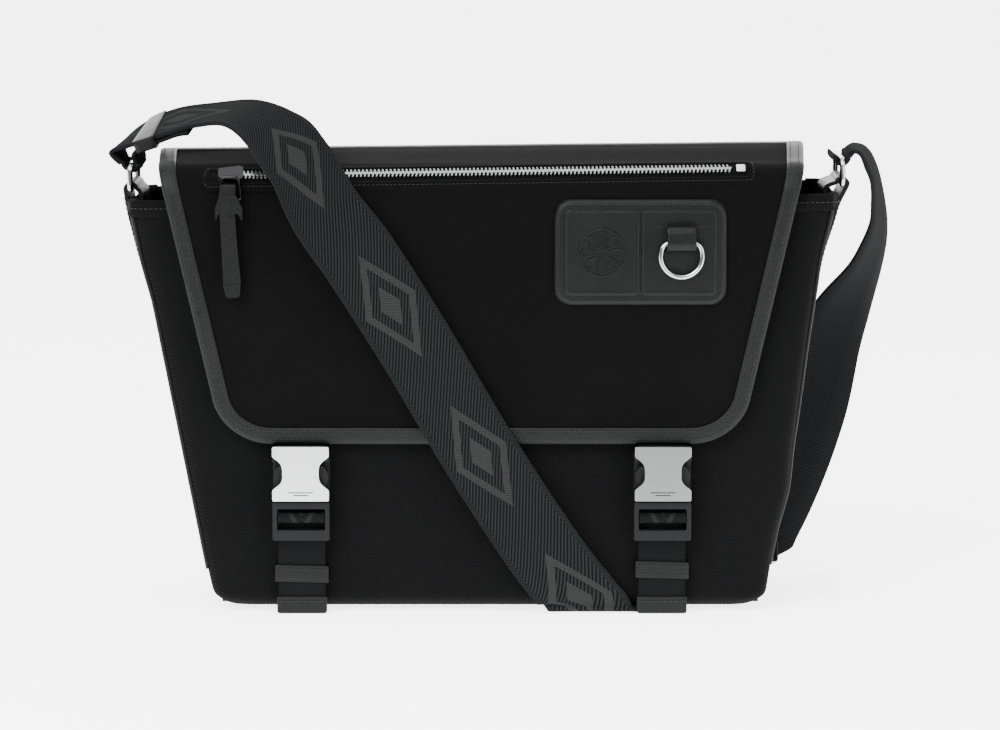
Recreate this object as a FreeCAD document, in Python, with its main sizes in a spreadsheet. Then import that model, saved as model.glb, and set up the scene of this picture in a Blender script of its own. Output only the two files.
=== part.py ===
"""Messenger bag with a fold-over flap, two side-release buckles and a shoulder strap.

Millimetres. X runs to the wearer's right as the flap is faced, Y runs to the back, Z is up.
The origin is the centre of the base, on the surface the bag stands on.
"""
import FreeCAD, Part
import math
import os

import Sketcher

V = FreeCAD.Vector

DIMENSIONS = {
    # body
    "top_half_width": 184, "base_half_width": 147, "body_depth": 100, "panel_height": 216,
    "back_height": 232, "panel_gauge": 3, "base_gauge": 5, "board_gauge": 3, "hem_width": 8,
    "hem_gauge": 1.2, "pocket_width": 220, "pocket_bottom": 60, "pocket_height": 120, "pocket_gauge": 1.6,
    "board_margin": 1, "board_end_margin": 3,
    # flap
    "flap_half_width": 167, "flap_tip_half_width": 134, "flap_top": 236, "flap_bottom": 91,
    "flap_gauge": 3, "front_gauge": 1.8, "flap_face": 57, "shoulder_radius": 17, "flap_corner_radius": 25,
    "binding_width": 8, "binding_gauge": 1.2, "lining_gauge": 0.8, "lining_inset": 3, "hinge_gap": 0.3,
    "seam_tape_start": 17, "seam_tape_end": 3, "pocket_bag_inset": 8, "pocket_bag_rise": 45,
    # zip
    "zip_left": -143, "zip_length": 276, "zip_lean": 45, "zip_tilt": 1, "tape_width": 9,
    "tape_gauge": 1, "tape_gap": 1.2, "tooth_pitch": 4.5, "tooth_width": 2.4, "tooth_height": 3.6,
    "tooth_proud": 0.9, "slider_width": 9, "slider_length": 13, "slider_at": 9, "slider_out": 2.3,
    "slider_gauge": 1.4, "bail_top": 229, "bail_drop": 10.5, "bail_stand_off": 3.6,
    "bail_wire": 1.4, "puller_width": 11.5, "puller_length": 45, "puller_gauge": 3, "puller_gap": 0.3,
    "fold_below": 6, "fold_above": 7, "fold_inset": 2, "blade_top_drop": 4.5,
    # patch and its ring
    "patch_centre": 78, "patch_bottom": 163, "patch_width": 90, "patch_height": 55.5,
    "patch_gauge": 2, "patch_radius": 10, "patch_margin": 5, "inlay_gauge": 0.8,
    "inlay_gap": 0.3, "dring_centre": 99, "dring_top": 196, "dring_half_width": 12, "dring_wire": 2.6,
    "dring_leg": 7, "dring_stand_off": 2.4, "loop_half_width": 7.5, "loop_proud": 2.6, "loop_foot": 4,
    # buckles and lower straps
    "left_strap_centre": -98.5, "right_strap_centre": 90, "webbing_width": 25, "webbing_gauge": 1.5,
    "socket_bottom": 61, "socket_top": 90, "socket_half_width": 14.75, "waist_half_width": 9.6,
    "socket_front": 63.5, "socket_back": 53.2, "plate_gauge": 1.2, "plug_front": 61.5,
    "plug_back": 56.8, "ladder_bottom": 40, "prong_top": 80, "prong_width": 4.6,
    "ladder_half_width": 15, "window_half_width": 13, "window_margin": 4, "neck_half_width": 12.3,
    "neck_rise": 2.4, "tongue_half_width": 3, "prong_offset": 7.9, "prong_foot": 3.1,
    "cavity_half_width": 12.8, "cavity_clearance": 0.4, "cross_bar_level": 51.5, "cross_bar_radius": 1.5,
    "cross_bar_half": 12.9, "turn_clearance": 0.05, "anchor_back": 51.6, "anchor_bottom": 12,
    "anchor_top": 58, "anchor_foot_bottom": 38, "tail_back": 53.4, "tail_bottom": 4, "tab_back": 53.2,
    "tab_bottom": 0.4, "tab_height": 9, "tab_lap": 0.6, "tab_wrap": 1.1, "keeper_height": 9,
    "left_keeper_bottom": 17, "right_keeper_bottom": 19, "keeper_front": 56.4, "keeper_back": 50.2,
    "keeper_overhang": 1.7, "keeper_slack": 0.4, "keeper_bore_front": 55.2, "keeper_bore_back": 51.3,
    # side rings and shoulder strap
    "chape_width": 38, "chape_gauge": 3, "ring_length": 48, "ring_rise": 13, "ring_wire": 3,
    "left_ring_offset": 189, "left_ring_height": 220, "right_ring_offset": 185,
    "right_ring_height": 223, "chape_drop": 50, "eye_wall": 1.8, "eye_clearance": 0.3,
    "loop_clearance": 0.2, "strap_width": 40, "strap_gauge": 2, "channel_depth": 2.8, "channel_margin": 3,
    "sleeve_width": 44, "sleeve_gauge": 7, "slide_width": 47, "slide_gauge": 5.6,
}

# Shoulder strap: centre line, and the direction across its width, from the left ring to the right one.
STRAP_ROUTE = [
    ((-193.9, 0, 233.5), (0, 1, 0)),
    ((-199.2, -0.5, 239.0), (0, 1, 0)),
    ((-190.5, -1.5, 248.0), (0, 1, -0.03)),
    ((-170.0, -4, 258.0), (0.05, 1, -0.02)),
    ((-149.0, -9, 261.5), (0.18, 1, 0.07)),
    ((-130.0, -21, 261.5), (0.36, 0.9, 0.15)),
    ((-113.5, -37, 252.5), (0.5, 0.78, 0.3)),
    ((-99.0, -60, 238.5), (0.58, 0.66, 0.44)),
    ((-85.0, -69.5, 214.0), (0.72, 0.4, 0.52)),
    ((-66.0, -66, 187.0), (0.82, 0.16, 0.56)),
    ((-37.5, -63, 141.0), (0.86, 0, 0.51)),
    ((-9.0, -62, 92.0), (0.86, 0, 0.51)),
    ((11.0, -61.5, 60.0), (0.86, 0, 0.51)),
    ((31.0, -60, 30.0), (0.9, 0.05, 0.42)),
    ((44.5, -55.4, 12.0), (0.94, 0, 0.22)),
    ((50.8, -52, 4.8), (1, 0, 0)),
    ((54.0, -51.6, 1.7), (1, 0, 0)),
    ((61.0, -42, 1.4), (1, 0, 0)),
    ((88.0, 0, 1.4), (1, 0, 0)),
    ((115.0, 42, 1.4), (1, 0, 0)),
    ((122.0, 53, 2.0), (1, 0, 0)),
    ((132.5, 58, 9.0), (1, 0, 0)),
    ((148.5, 62, 25.0), (0.97, 0, -0.25)),
    ((163.0, 64, 54.0), (0.93, 0, -0.37)),
    ((176.0, 63, 92.0), (0.95, 0.05, -0.3)),
    ((185.5, 63, 130.0), (0.9, 0.35, -0.21)),
    ((194.5, 61, 152.0), (0.76, 0.62, -0.16)),
    ((205.0, 51, 174.0), (0.46, 0.88, -0.1)),
    ((209.5, 36, 196.0), (0.28, 0.96, -0.05)),
    ((207.0, 19, 216.0), (0.18, 0.98, -0.02)),
    ((203.5, 8, 230.0), (0.1, 1, 0)),
    ((199.0, 2, 237.0), (0.06, 1, 0)),
    ((195.0, 0, 240.2), (0, 1, 0)),
    ((191.6, 0, 239.9), (0, 1, 0)),
    ((189.2, 0, 237.6), (0, 1, 0)),
]

# route points that lie under the base
UNDER_BAG = (17, 18, 19)
KEEPER_SPAN = (2, (0.27, 0.62))
ADJUSTER_SPAN = (21, (0.25, 0.95))
# least cosine of a slanted section
SLANT_LIMIT = 0.85

doc = FreeCAD.newDocument("messenger_bag")
sheet = doc.addObject("Spreadsheet::Sheet", "dims")
NODES = []


def fill_sheet():
    for row, (alias, value) in enumerate(DIMENSIONS.items(), start=1):
        sheet.set(f"A{row}", alias)
        sheet.set(f"B{row}", str(value))
        sheet.setAlias(f"B{row}", alias)
    doc.recompute()


def ref(expression):
    """Turns the dimension names of an expression into references to the sheet's cells."""
    words = sorted(DIMENSIONS, key=len, reverse=True)
    marked = str(expression)
    for index, word in enumerate(words):
        marked = marked.replace(word, f"<{index}>")
    for index, word in enumerate(words):
        marked = marked.replace(f"<{index}>", f"dims.{word}")
    return marked


def size(name):
    return float(sheet.get(name))


def node(obj, name):
    obj.Label = name
    NODES.append(obj)
    return obj


def sketch_plane(body, role):
    return next(feature for feature in body.Origin.OriginFeatures if feature.Role == role)


def outline_sketch(body, name, role, points):
    """A closed polygon whose corners are bound to the sheet."""
    sketch = body.newObject("Sketcher::SketchObject", name)
    sketch.AttachmentSupport = [(sketch_plane(body, role), "")]
    sketch.MapMode = "FlatFace"
    count = len(points)
    turn = 2 * math.pi / count
    start = [V(10 * math.cos(turn * k), 10 * math.sin(turn * k), 0) for k in range(count)]
    for k in range(count):
        sketch.addGeometry(Part.LineSegment(start[k], start[(k + 1) % count]), False)
    for k in range(count):
        sketch.addConstraint(Sketcher.Constraint("Coincident", k, 2, (k + 1) % count, 1))
    for k, (across, up) in enumerate(points):
        for kind, value in (("DistanceX", across), ("DistanceY", up)):
            index = sketch.addConstraint(Sketcher.Constraint(kind, -1, 1, k, 1, 1.0))
            sketch.setExpression(f"Constraints[{index}]", ref(value))
    return sketch


def padded(name, role, points, length, offset="0"):
    """A PartDesign body: one polygon padded by a length, starting at an offset from its plane."""
    body = doc.addObject("PartDesign::Body", name)
    sketch = outline_sketch(body, f"{name}_outline", role, points)
    pad = body.newObject("PartDesign::Pad", f"{name}_pad")
    pad.Profile = sketch
    pad.setExpression("Length", ref(length))
    # the sketch plane's normal is -Y on XZ, and +X on YZ
    axis, sign = {"XZ_Plane": ("y", "-1"), "YZ_Plane": ("x", "1"), "XY_Plane": ("z", "1")}[role]
    body.setExpression(f".Placement.Base.{axis}", f"{sign} * ({ref(offset)})")
    return body


def round_edges(body, along, radius, pick=lambda middle: True):
    """Rounds the edges that run along a direction and pass a test on their middle point."""
    doc.recompute()
    solid = body.Tip
    names = []
    for index, edge in enumerate(solid.Shape.Edges, start=1):
        direction = edge.tangentAt(edge.FirstParameter)
        if abs(abs(direction.dot(along)) - 1) < 1e-4 and pick(edge.CenterOfMass):
            names.append(f"Edge{index}")
    fillet = body.newObject("PartDesign::Fillet", f"{body.Name}_rounds")
    fillet.Base = (solid, names)
    fillet.setExpression("Radius", ref(radius))
    return body


def box(name, low, high):
    """A block between two corners, each coordinate an expression."""
    block = doc.addObject("Part::Box", name)
    for side, axis, start, end in zip(("Length", "Width", "Height"), "xyz", low, high):
        block.setExpression(side, f"({ref(end)}) - ({ref(start)})")
        block.setExpression(f".Placement.Base.{axis}", ref(start))
    return block


def rod(name, centre, axis, radius, length):
    """A cylinder whose start point, radius and length are expressions."""
    cylinder = doc.addObject("Part::Cylinder", name)
    cylinder.setExpression("Radius", ref(radius))
    cylinder.setExpression("Height", ref(length))
    cylinder.Placement = FreeCAD.Placement(V(), FreeCAD.Rotation(V(0, 0, 1), axis))
    for letter, value in zip("xyz", centre):
        cylinder.setExpression(f".Placement.Base.{letter}", ref(value))
    return cylinder


def cut(name, base, tool):
    result = doc.addObject("Part::Cut", name)
    result.Base = base
    result.Tool = tool
    return result


def common(name, base, tool):
    result = doc.addObject("Part::Common", name)
    result.Base = base
    result.Tool = tool
    return result


def fused(name, pieces):
    result = doc.addObject("Part::MultiFuse", name)
    result.Shapes = pieces
    return result


# ---------------------------------------------------------------- body


def side_outline(bottom, top):
    """The body's tapering outline between two heights, seen from the front."""
    def half(level):
        rise = f"({level}) / panel_height"
        return f"(base_half_width + (top_half_width - base_half_width) * {rise})"
    return [
        (f"-1 * {half(bottom)}", bottom),
        (half(bottom), bottom),
        (half(top), top),
        (f"-1 * {half(top)}", top),
    ]


def body_panels():
    front = padded("front_panel", "XZ_Plane", side_outline("base_gauge", "panel_height"),
                   "panel_gauge", "body_depth / 2 - panel_gauge")
    node(front, "front_panel")
    tongue = "flap_half_width"
    lower = side_outline("base_gauge", "panel_height")
    back_outline = lower[:3] + [
        (tongue, "panel_height"), (tongue, "back_height"),
        (f"-1 * {tongue}", "back_height"), (f"-1 * {tongue}", "panel_height"),
    ] + lower[3:]
    back = padded("back_panel", "XZ_Plane", back_outline, "panel_gauge", "-1 * body_depth / 2")
    node(back, "back_panel")


def gusset(name, side):
    outer_base = f"{side} * (base_half_width + (top_half_width - base_half_width) * base_gauge / panel_height)"
    outer_top = f"{side} * top_half_width"
    inward = f"{side} * panel_gauge"
    outline = [
        (outer_base, "base_gauge"), (outer_top, "panel_height"),
        (f"{outer_top} - {inward}", "panel_height"), (f"{outer_base} - {inward}", "base_gauge"),
    ]
    node(padded(name, "XZ_Plane", outline, "body_depth - 2 * panel_gauge",
                "-1 * (body_depth / 2 - panel_gauge)"), name)


def base_panels():
    slab = padded("base_slab", "XZ_Plane", side_outline("0", "base_gauge"), "body_depth",
                  "-1 * body_depth / 2")
    # the channel follows the strap under the bag
    first, middle, last = (STRAP_ROUTE[index][0] for index in UNDER_BAG)
    heading = math.degrees(math.atan2(last[1] - first[1], last[0] - first[0])) - 90
    turn = FreeCAD.Rotation(V(0, 0, 1), heading)
    corner = turn.multVec(V(-size("strap_width") / 2 - size("channel_margin"), -2 * size("body_depth"), 0))
    channel = doc.addObject("Part::Box", "strap_channel")
    channel.setExpression("Length", ref("strap_width + 2 * channel_margin"))
    channel.setExpression("Width", ref("4 * body_depth"))
    channel.setExpression("Height", ref("channel_depth + 1"))
    channel.Placement = FreeCAD.Placement(V(middle[0] + corner.x, middle[1] + corner.y, -1), turn)
    node(cut("base_panel", slab, channel), "base_panel")
    inner = "body_depth / 2 - panel_gauge - board_margin"
    reach = "base_half_width - panel_gauge - board_end_margin"
    board = box("base_board", (f"-1 * ({reach})", f"-1 * ({inner})", "base_gauge"),
                (reach, inner, "base_gauge + board_gauge"))
    node(board, "base_board")


def hem():
    """The folded tape along the front and side edges of the mouth."""
    bottom = "panel_height - hem_width"
    front = padded("hem_front", "XZ_Plane", side_outline(bottom, "panel_height"), "hem_gauge",
                   "body_depth / 2")
    node(front, "mouth_hem")


def inner_pocket():
    half = "pocket_width / 2"
    face = "body_depth / 2 - panel_gauge"
    pocket = box("slip_pocket", (f"-1 * {half}", f"{face} - pocket_gauge", "pocket_bottom"),
                 (half, face, "pocket_bottom + pocket_height"))
    node(pocket, "inner_slip_pocket")


# ---------------------------------------------------------------- flap


def flap_outline(inset="0", top="flap_top"):
    """The flap's front outline, drawn in by an inset on its sides and bottom."""
    slope = "(flap_half_width - flap_tip_half_width) / (flap_top - flap_bottom)"
    tip = f"(flap_tip_half_width + {slope} * ({inset}) - ({inset}))"
    crown = f"(flap_half_width - ({inset}))"
    bottom = f"flap_bottom + ({inset})"
    return [(f"-1 * {tip}", bottom), (tip, bottom), (crown, top), (f"-1 * {crown}", top)]


def flap_skin(name, outside, gauge):
    """The flap's front and shoulder as a bent strip, built as a solid of one constant gauge.

    outside is how far the strip's outer face stands off the flap's own outer face."""
    feature = doc.addObject("Part::Feature", name)
    face = size("flap_face") + outside
    top = size("flap_top") + outside
    radius = size("shoulder_radius") + outside
    thick = gauge
    start = size("shoulder_radius") - size("flap_face") + size("hinge_gap")
    reach = size("flap_half_width")
    bottom = size("flap_bottom")
    corner = V(0, -face + radius, top - radius)
    diagonal = math.radians(45)

    def arc(distance):
        middle = corner + V(0, -distance * math.sin(diagonal), distance * math.cos(diagonal))
        return Part.Arc(corner + V(0, 0, distance), middle, corner + V(0, -distance, 0)).toShape()

    def line(first, last):
        return Part.makeLine(first, last)

    outer_start, inner_start = V(0, start, top), V(0, start, top - thick)
    edges = [
        line(inner_start, outer_start),
        line(outer_start, corner + V(0, 0, radius)),
        arc(radius),
        line(corner + V(0, -radius, 0), V(0, -face, bottom)),
        line(V(0, -face, bottom), V(0, -face + thick, bottom)),
        line(V(0, -face + thick, bottom), corner + V(0, -radius + thick, 0)),
        arc(radius - thick),
        line(corner + V(0, 0, radius - thick), inner_start),
    ]
    edges = [edge for edge in edges if edge.Length > 1e-6]
    profile = Part.Face(Part.Wire(Part.__sortEdges__(edges)))
    profile.translate(V(-reach, 0, 0))
    feature.Shape = profile.extrude(V(2 * reach, 0, 0))
    return feature


def flap_cutter(name, inset, top="flap_top + 5"):
    body = padded(name, "XZ_Plane", flap_outline(inset, top), "80", "0")
    return round_edges(body, V(0, 1, 0), f"flap_corner_radius - ({inset})",
                       lambda middle: middle.z < size("flap_bottom") + 30)


def flap():
    depth = "body_depth / 2"
    top_panel = box("flap_top_panel",
                    ("-1 * flap_half_width", "shoulder_radius - flap_face + 2 * hinge_gap",
                     "flap_top - flap_gauge"),
                    ("flap_half_width", depth, "flap_top"))
    node(top_panel, "flap_top_panel")
    hinge_tape = box("flap_back_binding",
                     ("-1 * flap_half_width", f"{depth} - seam_tape_start", "flap_top"),
                     ("flap_half_width", f"{depth} - seam_tape_end", "flap_top + binding_gauge"))
    node(hinge_tape, "flap_back_binding")
    panel = common("flap_front_panel", flap_skin("flap_front_strip", 0, size("front_gauge")),
                   flap_cutter("flap_front_cutter", "0"))
    node(panel, "flap_front_panel")
    band = common("flap_band", flap_skin("binding_strip", size("binding_gauge"), size("binding_gauge")),
                  flap_cutter("binding_cutter", "0"))
    binding = cut("flap_binding", band, flap_cutter("binding_window", "binding_width", "flap_top + 20"))
    node(binding, "flap_binding")
    lining = common("flap_lining",
                    flap_skin("lining_strip", -size("flap_gauge"), size("lining_gauge")),
                    flap_cutter("lining_cutter", "lining_inset"))
    node(lining, "flap_lining")


# ---------------------------------------------------------------- zip


def zip_frame():
    """The zip's own frame: X along the teeth, Y into the bag, Z up the flap, all leaning over the shoulder."""
    lean = math.radians(size("zip_lean"))
    radius = size("shoulder_radius")
    middle = V(size("zip_left") + size("zip_length") / 2,
               radius - size("flap_face") - radius * math.cos(lean),
               size("flap_top") - radius + radius * math.sin(lean))
    turn = FreeCAD.Rotation(V(1, 0, 0), -size("zip_lean")).multiply(
        FreeCAD.Rotation(V(0, 1, 0), -size("zip_tilt")))
    return FreeCAD.Placement(middle - turn.multVec(V(size("zip_length") / 2, 0, 0)), turn)


def zip_box(name, low, high):
    """A block in the zip's frame; its corners are (along, out, up)."""
    block = doc.addObject("Part::Box", name)
    block.Length = high[0] - low[0]
    block.Width = high[1] - low[1]
    block.Height = high[2] - low[2]
    frame = zip_frame()
    block.Placement = FreeCAD.Placement(frame.multVec(V(low[0], -high[1], low[2])), frame.Rotation)
    return block


def zip_parts():
    length, half, gauge, gap = (size("zip_length"), size("tape_width") / 2, size("tape_gauge"),
                                size("tape_gap"))
    node(zip_box("zip_tape_upper", (0, 0, gap), (length, gauge, half)), "zip_tape_upper")
    node(zip_box("zip_tape_lower", (0, 0, -half), (length, gauge, -gap)), "zip_tape_lower")
    rise, pitch, width = size("tooth_height") / 2, size("tooth_pitch"), size("tooth_width")
    first = size("slider_length") + 8
    teeth = []
    count = int((length - first - 10) / pitch)
    for index in range(count):
        start = first + index * pitch
        teeth.append(zip_box(f"tooth_{index}", (start, gauge, -rise), (start + width, gauge + size("tooth_proud"), rise)))
    core = gap - 0.1
    chain = zip_box("chain_core", (first - 2, 0, -core), (length - 6, gauge + 0.1, core))
    node(fused("zip_teeth", [chain] + teeth), "zip_teeth")
    node(zip_box("zip_end_stop", (length - 5.6, gauge, -rise), (length - 1, gauge + 1.1, rise)), "zip_end_stop")
    middle = size("slider_at")
    reach, across, out = size("slider_length") / 2, size("slider_width") / 2, size("slider_out")
    face = out + size("slider_gauge")
    plate = zip_box("slider_plate", (middle - reach, out, -across), (middle + reach, face, across))
    eye = zip_box("slider_eye", (middle - 1, face, -3), (middle + 1, face + 2, 2))
    node(fused("zip_slider", [plate, eye]), "zip_slider")
    bail_and_puller(zip_frame().multVec(V(middle, 0, 0)).x)
    pocket_bag()


def pocket_bag():
    """The pocket behind the zip, between the flap's outer panel and its lining."""
    half = "(flap_tip_half_width - pocket_bag_inset)"
    bag = box("pocket_bag", (f"-1 * {half}", "front_gauge - flap_face", "flap_bottom + pocket_bag_rise"),
              (half, "flap_gauge - flap_face", "flap_top - shoulder_radius"))
    node(bag, "zip_pocket_bag")


def bail_and_puller(middle):
    wire, across = size("bail_wire"), size("puller_width") / 2 - 1
    front = -size("flap_face") - size("bail_stand_off") - wire
    back = front + wire
    top, drop = size("bail_top"), size("bail_top") - size("bail_drop")
    sides = [box(f"bail_side_{tag}", (f"{middle + s * across - wire / 2}", f"{front}", f"{drop}"),
                 (f"{middle + s * across + wire / 2}", f"{back}", f"{top}"))
             for tag, s in (("left", -1), ("right", 1))]
    bars = [box(f"bail_bar_{tag}", (f"{middle - across}", f"{front}", f"{level - wire / 2}"),
                (f"{middle + across}", f"{back}", f"{level + wire / 2}"))
            for tag, level in (("upper", top), ("lower", drop))]
    node(fused("zip_bail", sides + bars), "zip_bail")
    half = size("puller_width") / 2
    near = front - size("puller_gap")
    face, low, fold_half = near - size("puller_gauge"), drop - size("fold_below"), half - size("fold_inset")
    fold = box("puller_fold", (f"{middle - fold_half}", f"{face}", f"{low}"),
               (f"{middle + fold_half}", f"{near}", f"{drop + size('fold_above')}"))
    blade = box("puller_blade", (f"{middle - half}", f"{face}", f"{low - size('puller_length')}"),
                (f"{middle + half}", f"{back}", f"{drop - size('blade_top_drop')}"))
    node(fused("zip_puller", [fold, blade]), "zip_puller")


# ---------------------------------------------------------------- patch


def patch():
    def plate(name, left, right, bottom, top, gauge, stand_off, radius):
        outline = [(left, bottom), (right, bottom), (right, top), (left, top)]
        body = padded(name, "XZ_Plane", outline, gauge, f"flap_face + ({stand_off})")
        return body if radius is None else round_edges(body, V(0, 1, 0), radius[0], radius[1])

    left = "patch_centre - patch_width / 2"
    right = "patch_centre + patch_width / 2"
    top = "patch_bottom + patch_height"
    node(plate("patch_base", left, right, "patch_bottom", top, "patch_gauge", "0",
               ("patch_radius", lambda middle: True)), "patch_base")
    middle = size("patch_centre")
    inner = ("patch_bottom + patch_margin", f"{top} - patch_margin", "inlay_gauge", "patch_gauge")
    node(plate("patch_left", f"{left} + patch_margin", "patch_centre - inlay_gap", *inner,
               ("patch_radius - patch_margin", lambda point: point.x < middle - 5)), "patch_left_inlay")
    node(plate("patch_right", "patch_centre + inlay_gap", f"{right} - patch_margin", *inner,
               ("patch_radius - patch_margin", lambda point: point.x > middle + 5)), "patch_right_inlay")


def dring():
    out = size("flap_face") + size("patch_gauge") + size("inlay_gauge") + size("dring_stand_off")
    centre, top, leg = size("dring_centre"), size("dring_top"), size("dring_leg")
    half, wire = size("dring_half_width"), size("dring_wire") / 2
    hoop = doc.addObject("Part::Torus", "dring_hoop")
    hoop.Radius1 = half - wire
    hoop.Radius2 = wire
    hoop.Angle1 = -180
    hoop.Angle2 = 180
    hoop.Angle3 = 180
    hoop.Placement = FreeCAD.Placement(V(centre, -out, top - leg), FreeCAD.Rotation(V(1, 0, 0), -90))
    reach = half - wire
    legs = [rod(f"dring_leg_{tag}", (f"{centre + s * reach}", f"{-out}", f"{top - leg}"), V(0, 0, 1),
                "dring_wire / 2", "dring_leg") for tag, s in (("left", -1), ("right", 1))]
    bar = rod("dring_bar", (f"{centre - half}", f"{-out}", f"{top}"), V(1, 0, 0),
              "dring_wire / 2", "2 * dring_half_width")
    node(fused("d_ring", [hoop, bar] + legs), "d_ring")
    loop_half = size("loop_half_width")
    tab = box("loop_block", (f"{centre - loop_half}", f"{-out} - loop_proud", f"{top} - loop_foot"),
              (f"{centre + loop_half}", "-1 * (flap_face + patch_gauge + inlay_gauge)", f"{top} + dring_leg"))
    bore = rod("loop_bore", (f"{centre - loop_half - 1}", f"{-out}", f"{top}"), V(1, 0, 0),
               "dring_wire / 2 + 0.3", f"{2 * loop_half + 2}")
    node(cut("ring_loop", tab, bore), "ring_loop")


# ---------------------------------------------------------------- buckles and lower straps


def waisted_outline(centre):
    """The face plate's outline: a square head and foot joined by a narrow waist."""
    wide, waist = "socket_half_width", "waist_half_width"
    half = [(wide, "socket_bottom"), (wide, "socket_bottom + 6"), (waist, "socket_bottom + 11"),
            (waist, "socket_bottom + 17"), (wide, "socket_top - 5"), (wide, "socket_top")]
    right = [(f"{centre} + {x}", z) for x, z in half]
    left = [(f"{centre} - {x}", z) for x, z in reversed(half)]
    return right + left


def buckle(side):
    centre = f"{side}_strap_centre"
    shell = padded(f"{side}_socket_block", "XZ_Plane", waisted_outline(centre),
                   "socket_front - socket_back", "socket_back")
    cavity = box(f"{side}_socket_cavity",
                 (f"{centre} - cavity_half_width", "-1 * plug_front - cavity_clearance", "socket_bottom - 1"),
                 (f"{centre} + cavity_half_width", "-1 * plug_back + cavity_clearance", "prong_top + 1.5"))
    node(cut(f"{side}_buckle_socket", shell, cavity), f"{side}_buckle_socket")
    node(padded(f"{side}_face_plate", "XZ_Plane", waisted_outline(centre), "plate_gauge",
                "socket_front"), f"{side}_face_plate")
    stub = box(f"{side}_flap_webbing",
               (f"{centre} - webbing_width / 2", "-1 * socket_back", "socket_bottom + 10"),
               (f"{centre} + webbing_width / 2", "webbing_gauge - socket_back", "socket_top + 30"))
    node(stub, f"{side}_flap_webbing")
    plug(side, centre)
    lower_strap(side, centre)


def plug(side, centre):
    depth = ("-1 * plug_front", "-1 * plug_back")
    foot = box(f"{side}_ladder_block", (f"{centre} - ladder_half_width", depth[0], "ladder_bottom"),
               (f"{centre} + ladder_half_width", depth[1], "socket_bottom - 0.5"))
    window = box(f"{side}_ladder_window",
                 (f"{centre} - window_half_width", "-1 * plug_front - 1", "ladder_bottom + window_margin"),
                 (f"{centre} + window_half_width", "-1 * plug_back + 1", "socket_bottom - window_margin"))
    frame = cut(f"{side}_ladder_frame", foot, window)
    tongue = box(f"{side}_plug_tongue", (f"{centre} - tongue_half_width", depth[0], "socket_bottom - 0.5"),
                 (f"{centre} + tongue_half_width", depth[1], "prong_top - 3"))
    shoulder = box(f"{side}_plug_neck", (f"{centre} - neck_half_width", depth[0], "socket_bottom - 0.5"),
                   (f"{centre} + neck_half_width", depth[1], "socket_bottom + neck_rise"))
    node(fused(f"{side}_buckle_plug", [frame, tongue, shoulder]), f"{side}_buckle_plug")
    for tag, sign in (("outer", -1 if side == "left" else 1), ("inner", 1 if side == "left" else -1)):
        near = f"{centre} + {sign} * prong_offset"
        far = f"{centre} + {sign} * (prong_offset + prong_width)"
        if sign < 0:
            near, far = far, near
        prong = box(f"{side}_{tag}_prong", (near, "-1 * plug_front + 0.2", "socket_bottom + prong_foot"),
                    (far, "-1 * plug_back - 0.2", "prong_top"))
        node(prong, f"{side}_{tag}_prong")
    middle = "-1 * (plug_front + plug_back) / 2"
    bar = rod(f"{side}_cross_bar", (f"{centre} - cross_bar_half", middle, "cross_bar_level"),
              V(1, 0, 0), "cross_bar_radius", "2 * cross_bar_half")
    node(bar, f"{side}_cross_bar")
    bore = "cross_bar_radius + turn_clearance"
    roll = rod(f"{side}_roll", (f"{centre} - webbing_width / 2", middle, "cross_bar_level"),
               V(1, 0, 0), f"{bore} + webbing_gauge", "webbing_width")
    hole = rod(f"{side}_roll_hole", (f"{centre} - webbing_width", middle, "cross_bar_level"),
               V(1, 0, 0), bore, "2 * webbing_width")
    front_half = box(f"{side}_roll_keep",
                     (f"{centre} - webbing_width", "-1 * plug_front - 3", "cross_bar_level - 20"),
                     (f"{centre} + webbing_width", "-1 * plug_back - 1", "cross_bar_level + 20"))
    turn = cut(f"{side}_roll_shell", roll, hole)
    node(common(f"{side}_webbing_turn", turn, front_half), f"{side}_webbing_turn")


def lower_strap(side, centre):
    left, right = f"{centre} - webbing_width / 2", f"{centre} + webbing_width / 2"
    anchor = box(f"{side}_anchor_strip", (left, "-1 * anchor_back - webbing_gauge", "anchor_bottom"),
                 (right, "-1 * anchor_back", "anchor_top"))
    foot = box(f"{side}_anchor_foot", (left, "-1 * anchor_back - 0.1", "anchor_foot_bottom"),
               (right, "-1 * body_depth / 2", "anchor_top"))
    node(fused(f"{side}_anchor_webbing_sewn", [anchor, foot]), f"{side}_anchor_webbing")
    tail_front = "-1 * tail_back - webbing_gauge"
    tail = box(f"{side}_tail_strip", (left, tail_front, "tail_bottom"), (right, "-1 * tail_back", "anchor_top"))
    tab = box(f"{side}_tab_block", (f"{left} - tab_lap", f"{tail_front} - tab_wrap", "tab_bottom"),
              (f"{right} + tab_lap", "-1 * tab_back", "tab_bottom + tab_height"))
    node(cut(f"{side}_tail_webbing_trimmed", tail, tab), f"{side}_tail_webbing")
    node(tab, f"{side}_tail_tab")
    bottom = f"{side}_keeper_bottom"
    outside = box(f"{side}_keeper_block", (f"{left} - keeper_overhang", "-1 * keeper_front", bottom),
                  (f"{right} + keeper_overhang", "-1 * keeper_back", f"{bottom} + keeper_height"))
    inside = box(f"{side}_keeper_bore", (f"{left} - keeper_slack", "-1 * keeper_bore_front", f"{bottom} - 1"),
                 (f"{right} + keeper_slack", "-1 * keeper_bore_back", f"{bottom} + keeper_height + 1"))
    node(cut(f"{side}_keeper", outside, inside), f"{side}_keeper")


# ---------------------------------------------------------------- side rings and strap


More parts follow.
